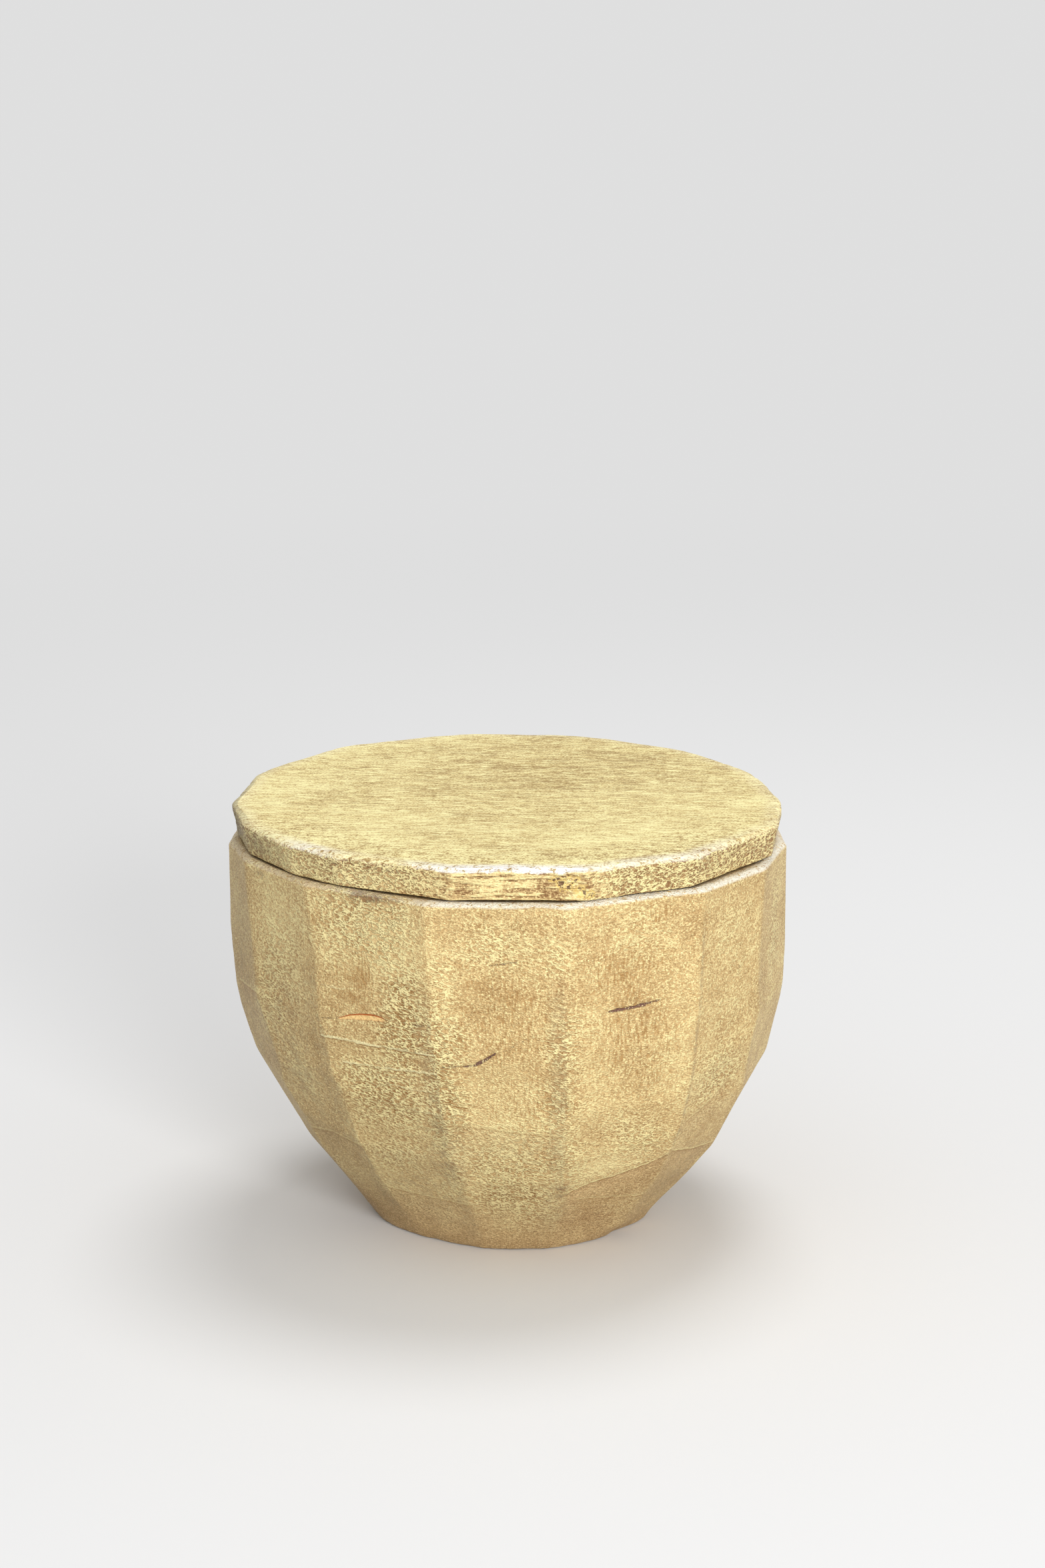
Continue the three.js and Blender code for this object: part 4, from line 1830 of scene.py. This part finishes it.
        # The ridges are painted light along their tops, partly a painted highlight, with a painted shadow
        # just below them.
        side, half, sunk = graph.parts(graph.vector(MarkKind.RIDGE.value))
        wavering = graph.total(side, graph.about(lumps, 0.7))
        strong = graph.times(graph.stepped(sunk, -0.05, -0.16), graph.stepped(patchy, 0.36, 0.52))
        line = graph.times(graph.stepped(graph.inside(half, wavering), -0.14, 0.02), strong)
        shadow = graph.times(graph.stepped(graph.off(wavering, -0.34), 0.24, 0.04), strong)

        colour = graph.coated(
            colour,
            # painted shade below the ledges, a painted shadow under their lines and a painted highlight
            # above them
            (lower, 2.4, low_colour),
            (under, 3.0, self.brown),
            (over, 3.5, self.light),
            (opened, 0.9, wood.rust),
            (pared, 1.0, wood.fresh),
            (graph.times(split, graph.stepped(depth, -0.1, 0.2)), 0.9, self.check),
            (graph.times(split, bright_grains), 0.8, self.light),
            (shadow, 0.5, self.brown),
            (line, 0.9, self.ridge),
        )
        colour, bare = self.on_wood(graph, colour, patchy, place, wood)
        painted = graph.times(graph.rest(bare), graph.rest(split), graph.rest(opened))
        rougher = graph.weighed((bare, 0.25), (polished_and_glinting, -0.14), (low, 0.05))
        relief = graph.weighed(
            (grains, 0.08),
            (lumps, 0.07),
            (graph.times(ridged, wrinkled), 0.2),
            (graph.times(creased, plain), 0.08),
            (strokes, 0.08),
            (scratch, -0.03),
            (bands, 0.1),
            (line, 0.12),
            (split, -0.2),
            (opened, -0.04),
        )
        rough = graph.total(self.rough, graph.about(grains, -0.4), rougher)
        return graph.finished(colour, graph.times(painted, self.metal), rough, relief)


@dataclass(frozen=True)
class LidPaint(GoldPaint):
    """The lid's paint: streaked along the grain on top, and rough round its pared edge.

    Attributes:
        amber: the ring round each pit of the knot.
        top_dark, top_middle, top_light: the paint on top, paler and lighter than on the sides, partly as
        painted light from above.
        top_level: how light the top is on the whole.
        grain_turn: the turn of the grain from X, in degrees.
        zone_middle: the middle of the worn zone on top.
        zone_radius, zone_core: the wear starts at the radius and is whole at the core.
        clouds, bands, patchy: broad changes, bands along the grain, and ragged wear.
        streaks, dashes: long and short brush marks along the grain, on top.
        torn, layers: the torn grain and the layers of the wood round the edge.
        wandering: the noise whose middle lines are the wrinkles across the grain.
    """

    name: str = "lid_gold_paint"
    dark: Triple = (144, 107, 69)
    rubbed_and_glint: Triple = (254, 252, 252)
    grey: Triple = (107, 94, 69)
    amber: Triple = (248, 215, 128)
    top_dark: Triple = (168, 138, 82)
    top_middle: Triple = (227, 205, 141)
    top_light: Triple = (255, 246, 182)
    level: float = 0.47
    top_level: float = 0.54
    grain_turn: float = 2.5
    zone_middle: Triple = (4.0, 17.0, 75.0)
    zone_radius: float = 46.0
    zone_core: float = 8.0
    grains: Texture = Texture(0.36, 2.0, 0.6)
    lumps: Texture = Texture(1.0, 2.0, 0.5)
    clouds: Texture = Texture(12.0, 3.0, 0.6, (0.6, 1.0, 1.0), 0.1)
    bands: Texture = Texture(3.0, 5.0, 0.7, (0.4, 1.0, 1.0), 0.4)
    patchy: Texture = Texture(1.8, 4.0, 0.65, (0.3, 1.0, 1.0), 0.9)
    streaks: Texture = Texture(0.8, 3.0, 0.65, (0.22, 1.0, 1.0))
    dashes: Texture = Texture(0.5, 1.0, 0.5, (0.13, 1.0, 1.0), 0.6)
    torn: Texture = Texture(0.9, 3.0, 0.6, (0.16, 1.0, 1.0), 0.8)
    layers: Texture = Texture(0.62, 2.0, 0.5, (0.13, 1.0, 1.0), 0.5)
    wandering: Texture = Texture(0.8, 2.0, 0.5, (0.7, 0.7, 1.3))

    def material(self, wood: BareWood) -> bpy.types.Material:
        """The lid's material.

        Args:
            wood: the wood under the paint.

        Returns:
            The material.
        """
        graph = Graph(bpy.data.materials.new(self.name))
        place = graph.place()
        along = graph.turned(place, self.grain_turn)
        top = graph.attribute("top")
        grains = self.grains.over(graph, place)
        lumps = self.lumps.over(graph, place)
        clouds = self.clouds.over(graph, along)
        bands = self.bands.over(graph, along)
        patchy = self.patchy.over(graph, along)
        streaks = self.streaks.over(graph, along)
        dashes = self.dashes.over(graph, along)
        torn = self.torn.over(graph, along)
        layers = self.layers.over(graph, along)
        ridged = graph.stepped(graph.off(self.wandering.over(graph, place)), 0.1, 0.02)
        grooved = graph.stepped(layers, 0.4, 0.58)
        with_grain = graph.rest(graph.attribute("across_grain"))
        mostly_across = graph.total(0.3, graph.attribute("across_grain"))

        from_zone = graph.node("VectorMath", operation="DISTANCE")
        graph.feed_socket(from_zone.inputs[0], place)
        graph.feed_socket(from_zone.inputs[1], tuple(part * MM for part in self.zone_middle))
        from_zone = from_zone.outputs["Value"]
        worn_zone = graph.stepped(from_zone, self.zone_radius * MM, self.zone_core * MM)
        near_edge = graph.about(graph.total(grains, lumps), 1.2, 1.0)
        on_top = graph.total(
            graph.about(grains, 1.3),
            graph.about(lumps, 0.8),
            graph.about(streaks, 1.0),
            graph.about(bands, 1.1),
            graph.about(clouds, 0.8),
            graph.weighed(
                (graph.stepped(grains, 0.58, 0.66), 0.25),
                (graph.stepped(grains, 0.4, 0.33), -0.3),
                (graph.stepped(dashes, 0.58, 0.66), 0.7),
                (worn_zone, -0.26),
            ),
            graph.times(graph.attribute("near_edge"), near_edge),
            self.top_level,
        )
        on_side = graph.total(
            graph.about(grains, 1.1),
            graph.about(lumps, 0.5),
            graph.about(bands, 0.5),
            graph.times(graph.about(torn, 0.8), with_grain),
            graph.times(graph.about(grooved, 0.6, 0.45), with_grain),
            graph.times(graph.about(ridged, 0.8, 0.3), mostly_across),
            graph.weighed((graph.stepped(grains, 0.57, 0.63), 0.5), (graph.attribute("pale"), 0.4)),
            self.level,
        )
        # The top takes paler, lighter colours than the sides: partly painted light from above.
        above = self.tinted(graph, on_top, self.top_dark, self.top_middle, self.top_light)
        beside = self.tinted(graph, on_side, self.dark, self.middle, self.light)

        worn = graph.total(graph.attribute("thin"), graph.about(patchy, 1.2))
        lined = graph.total(graph.about(layers, -2.2), graph.about(lumps, 0.8))
        spots = graph.total(graph.attribute("stained"), lined)
        # Whiter round the top edge: worn polish, and a painted glint.
        polished_and_glinting = graph.stepped(graph.total(grains, lumps), 0.72, 1.02)
        polished_and_glinting = graph.times(graph.attribute("rub_and_glint"), polished_and_glinting)
        pit = graph.total(graph.attribute("pit"), graph.about(lumps, 2.6), graph.about(grains, 1.2))
        hole = graph.stepped(pit, 0.0, -0.3)
        ring = graph.times(graph.stepped(pit, 0.7, 0.3), graph.stepped(pit, 0.0, 0.12))
        colour = graph.coated(
            graph.blend(top, beside, above),
            (graph.stepped(worn, 0.3, 0.95), 0.6, self.brown),
            # Dark grey on the far left: painted shade.
            (graph.attribute("tarnished"), 0.85, self.grey),
            (graph.stepped(spots, 0.55, 1.05), 0.6, self.stain),
            (polished_and_glinting, 0.95, self.rubbed_and_glint),
            (ring, 0.65, self.amber),
            (hole, 0.85, self.stain),
        )
        colour, bare = self.on_wood(graph, colour, patchy, place, wood)

        metal = graph.times(graph.rest(bare), self.metal)
        rougher = graph.weighed((bare, 0.25), (polished_and_glinting, -0.14))
        rough = graph.total(self.rough, graph.about(grains, -0.5), rougher)
        relief_side = graph.weighed(
            (grains, 0.11),
            (lumps, 0.12),
            (graph.times(torn, with_grain), 0.3),
            (graph.times(grooved, with_grain), 0.18),
            (graph.times(ridged, mostly_across), 0.18),
        )
        relief_top = graph.weighed((grains, 0.09), (streaks, 0.12), (dashes, 0.08), (bands, 0.08))
        relief = graph.total(
            graph.times(relief_side, graph.rest(top)),
            graph.times(relief_top, top),
            graph.times(hole, -0.15),
        )
        return graph.finished(colour, metal, rough, relief)


@dataclass(frozen=True)
class Lamp:
    """A round soft lamp.

    Attributes:
        name: its name.
        power: its power in watts.
        size: its diameter in metres.
        bearing: its bearing from the front.
        climb: its angle above the floor.
    """

    name: str
    power: float
    size: float
    bearing: float
    climb: float

    def build(self, target: float, distance: float) -> None:
        """Makes the lamp and points it at the object.

        Args:
            target: height that it points at.
            distance: how far it stands from there.
        """
        data = bpy.data.lights.new(self.name, "AREA")
        data.shape = "DISK"
        data.size = self.size
        data.energy = self.power
        lamp = bpy.data.objects.new(self.name, data)
        up = math.radians(self.climb)
        away = placed(self.bearing, distance * math.cos(up), distance * math.sin(up))
        lamp.location = Vector((0.0, 0.0, target * MM)) + Vector(away) * MM
        lamp.rotation_euler = Vector(away).to_track_quat("Z", "Y").to_euler()
        bpy.context.scene.collection.objects.link(lamp)


@dataclass
class Studio:
    """A plain pale floor, soft light from the front right and from above, and the camera.

    Attributes:
        target: height that the lamps point at.
        camera_place: where the camera stands.
        camera_down, camera_turn: its tilt down and its turn from straight ahead, in degrees.
        camera_lens, camera_sensor: its focal length, and the width of its sensor.
        floor_radius, floor_thickness: the floor's sizes.
        floor_pale: the floor's colour as the camera sees it.
        floor_bounce: the floor's colour for the light that it throws at the object.
        fade_from, fade_to: between these distances the floor fades into the backdrop.
        backdrop: the background as the camera sees it.
        sky: the sky's strength for the light that falls on the object.
        lamp_distance: how far the lamps stand away.
        lamps: the lamps.
    """

    target: float = 40.0
    camera_place: Triple = (12.98, -570.0, 220.4)
    camera_down: float = 14.04
    camera_turn: float = -1.05
    camera_lens: float = 76.53
    camera_sensor: float = 36.0
    floor_radius: float = 3000.0
    floor_thickness: float = 20.0
    floor_pale: float = 0.8
    floor_bounce: float = 0.42
    fade_from: float = 200.0
    fade_to: float = 800.0
    backdrop: float = 0.74
    sky: float = 0.572
    lamp_distance: float = 1150.0
    lamps: tuple[Lamp, ...] = (
        Lamp("key_light", power=9.8, size=0.45, bearing=21.0, climb=15.0),
        Lamp("top_light", power=4.62, size=0.5, bearing=155.0, climb=72.0),
    )

    def camera(self) -> None:
        """Places the camera by its position, its tilt down and its turn from straight ahead."""
        data = bpy.data.cameras.new("camera")
        data.lens = self.camera_lens
        data.sensor_width = self.camera_sensor
        data.clip_start = 0.01
        data.clip_end = 50.0
        camera = bpy.data.objects.new("camera", data)
        down = math.radians(self.camera_down)
        turn = math.radians(self.camera_turn)
        level = math.cos(down)
        ahead = Vector((math.sin(turn) * level, math.cos(turn) * level, -math.sin(down)))
        right = Vector((math.cos(turn), -math.sin(turn), 0.0))
        turned = Matrix((right, right.cross(ahead), -ahead)).transposed().to_4x4()
        camera.matrix_world = Matrix.Translation(Vector(self.camera_place) * MM) @ turned
        bpy.context.scene.collection.objects.link(camera)
        bpy.context.scene.camera = camera

    def seen(self, graph: Graph) -> Socket:
        """1 for camera, glossy and transmission rays, and 0 for the rays that light the object."""
        rays = graph.node("LightPath").outputs
        kinds = (rays["Is Camera Ray"], rays["Is Glossy Ray"], rays["Is Transmission Ray"])
        return graph.maths("MINIMUM", graph.total(*kinds), 1.0)

    def floor_material(self) -> bpy.types.Material:
        """A pale matte floor that fades into the backdrop away from the object.

        Returns:
            The material.
        """
        graph = Graph(bpy.data.materials.new("pale_floor"))
        away = graph.node("VectorMath", operation="LENGTH")
        graph.feed_socket(away.inputs[0], graph.place())
        fade = graph.stepped(away.outputs["Value"], self.fade_from * MM, self.fade_to * MM)
        seen = self.seen(graph)
        light = graph.total(graph.times(seen, self.floor_pale - self.floor_bounce), self.floor_bounce)
        grey = graph.feed(graph.node("CombineColor"), Red=light, Green=light, Blue=light)
        matte = graph.feed(graph.node("BsdfDiffuse"), Color=grey.outputs[0])
        backdrop = (self.backdrop, self.backdrop, self.backdrop, 1.0)
        glow = graph.feed(graph.node("Emission"), Color=backdrop)
        mixed = graph.node("MixShader")
        for socket, value in zip(mixed.inputs, (graph.times(fade, seen), matte.outputs[0], glow.outputs[0])):
            graph.feed_socket(socket, value)
        graph.feed(graph.node("OutputMaterial"), Surface=mixed.outputs[0])
        return graph.owner

    def floor(self) -> None:
        """Makes the round floor, with rings at radii that grow with the square of their number."""
        share = np.linspace(1.0, 0.02, 24)[:, None] ** 2
        bearing = np.linspace(0.0, 360.0, 96, endpoint=False)[None, :]
        surface = Surface("floor", [
            (bearing, 0.01 * self.floor_radius, -self.floor_thickness),
            (bearing, self.floor_radius, -self.floor_thickness),
            (bearing, self.floor_radius * share, 0.0),
        ])
        floor = surface.to_object()
        floor.data.materials.append(self.floor_material())

    def world(self) -> None:
        """Makes a dim even sky that lights the object, and that a camera or a shine sees as pale."""
        graph = Graph(bpy.data.worlds.new("sky"))
        strength = graph.node("MapRange")
        graph.feed(strength, Value=self.seen(graph), To_Min=self.sky, To_Max=self.backdrop)
        background = graph.node("Background")
        graph.feed(background, Color=(1.0, 1.0, 1.0, 1.0), Strength=strength.outputs[0])
        graph.feed(graph.node("OutputWorld"), Surface=background.outputs[0])
        bpy.context.scene.world = graph.owner

    def build(self) -> None:
        """Makes the camera, the floor, the sky and the lamps."""
        self.camera()
        self.floor()
        self.world()
        for lamp in self.lamps:
            lamp.build(self.target, self.lamp_distance)
        bpy.context.scene.view_settings.view_transform = "Standard"


def dress(surface: Surface, body: str, material: bpy.types.Material) -> None:
    """Makes a surface a piece that rides on its body and stands for that body's CAD node.

    Args:
        surface: the piece's surface.
        body: the body, which has the same name as its one node.
        material: the piece's finish.
    """
    piece = surface.to_object()
    piece.data.materials.append(material)
    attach(piece, body)
    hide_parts(body)
    counts = (len(piece.data.vertices), len(piece.data.polygons))
    LOG.info("%s: %d points, %d faces", piece.name, *counts)


def main() -> None:
    """Builds the studio, the bowl and the lid, and reports each piece."""
    logging.basicConfig(level=logging.INFO, format="%(name)s: %(message)s")
    Studio().build()
    wood = BareWood()
    lid_low, lid_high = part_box("lid")
    lid = Lid(low=lid_low.z / MM, top=lid_high.z / MM)
    dress(lid.surface(), "lid", LidPaint().material(wood))
    lid_bearing, lid_radius = lid.outline()
    bowl_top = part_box("bowl")[1].z / MM
    bowl = Bowl(rim_height=bowl_top, lid_outline=(lid_bearing[0], lid_radius[0]))
    dress(bowl.surface(), "bowl", BowlPaint().material(wood))


if __name__ == "__main__":
    main()
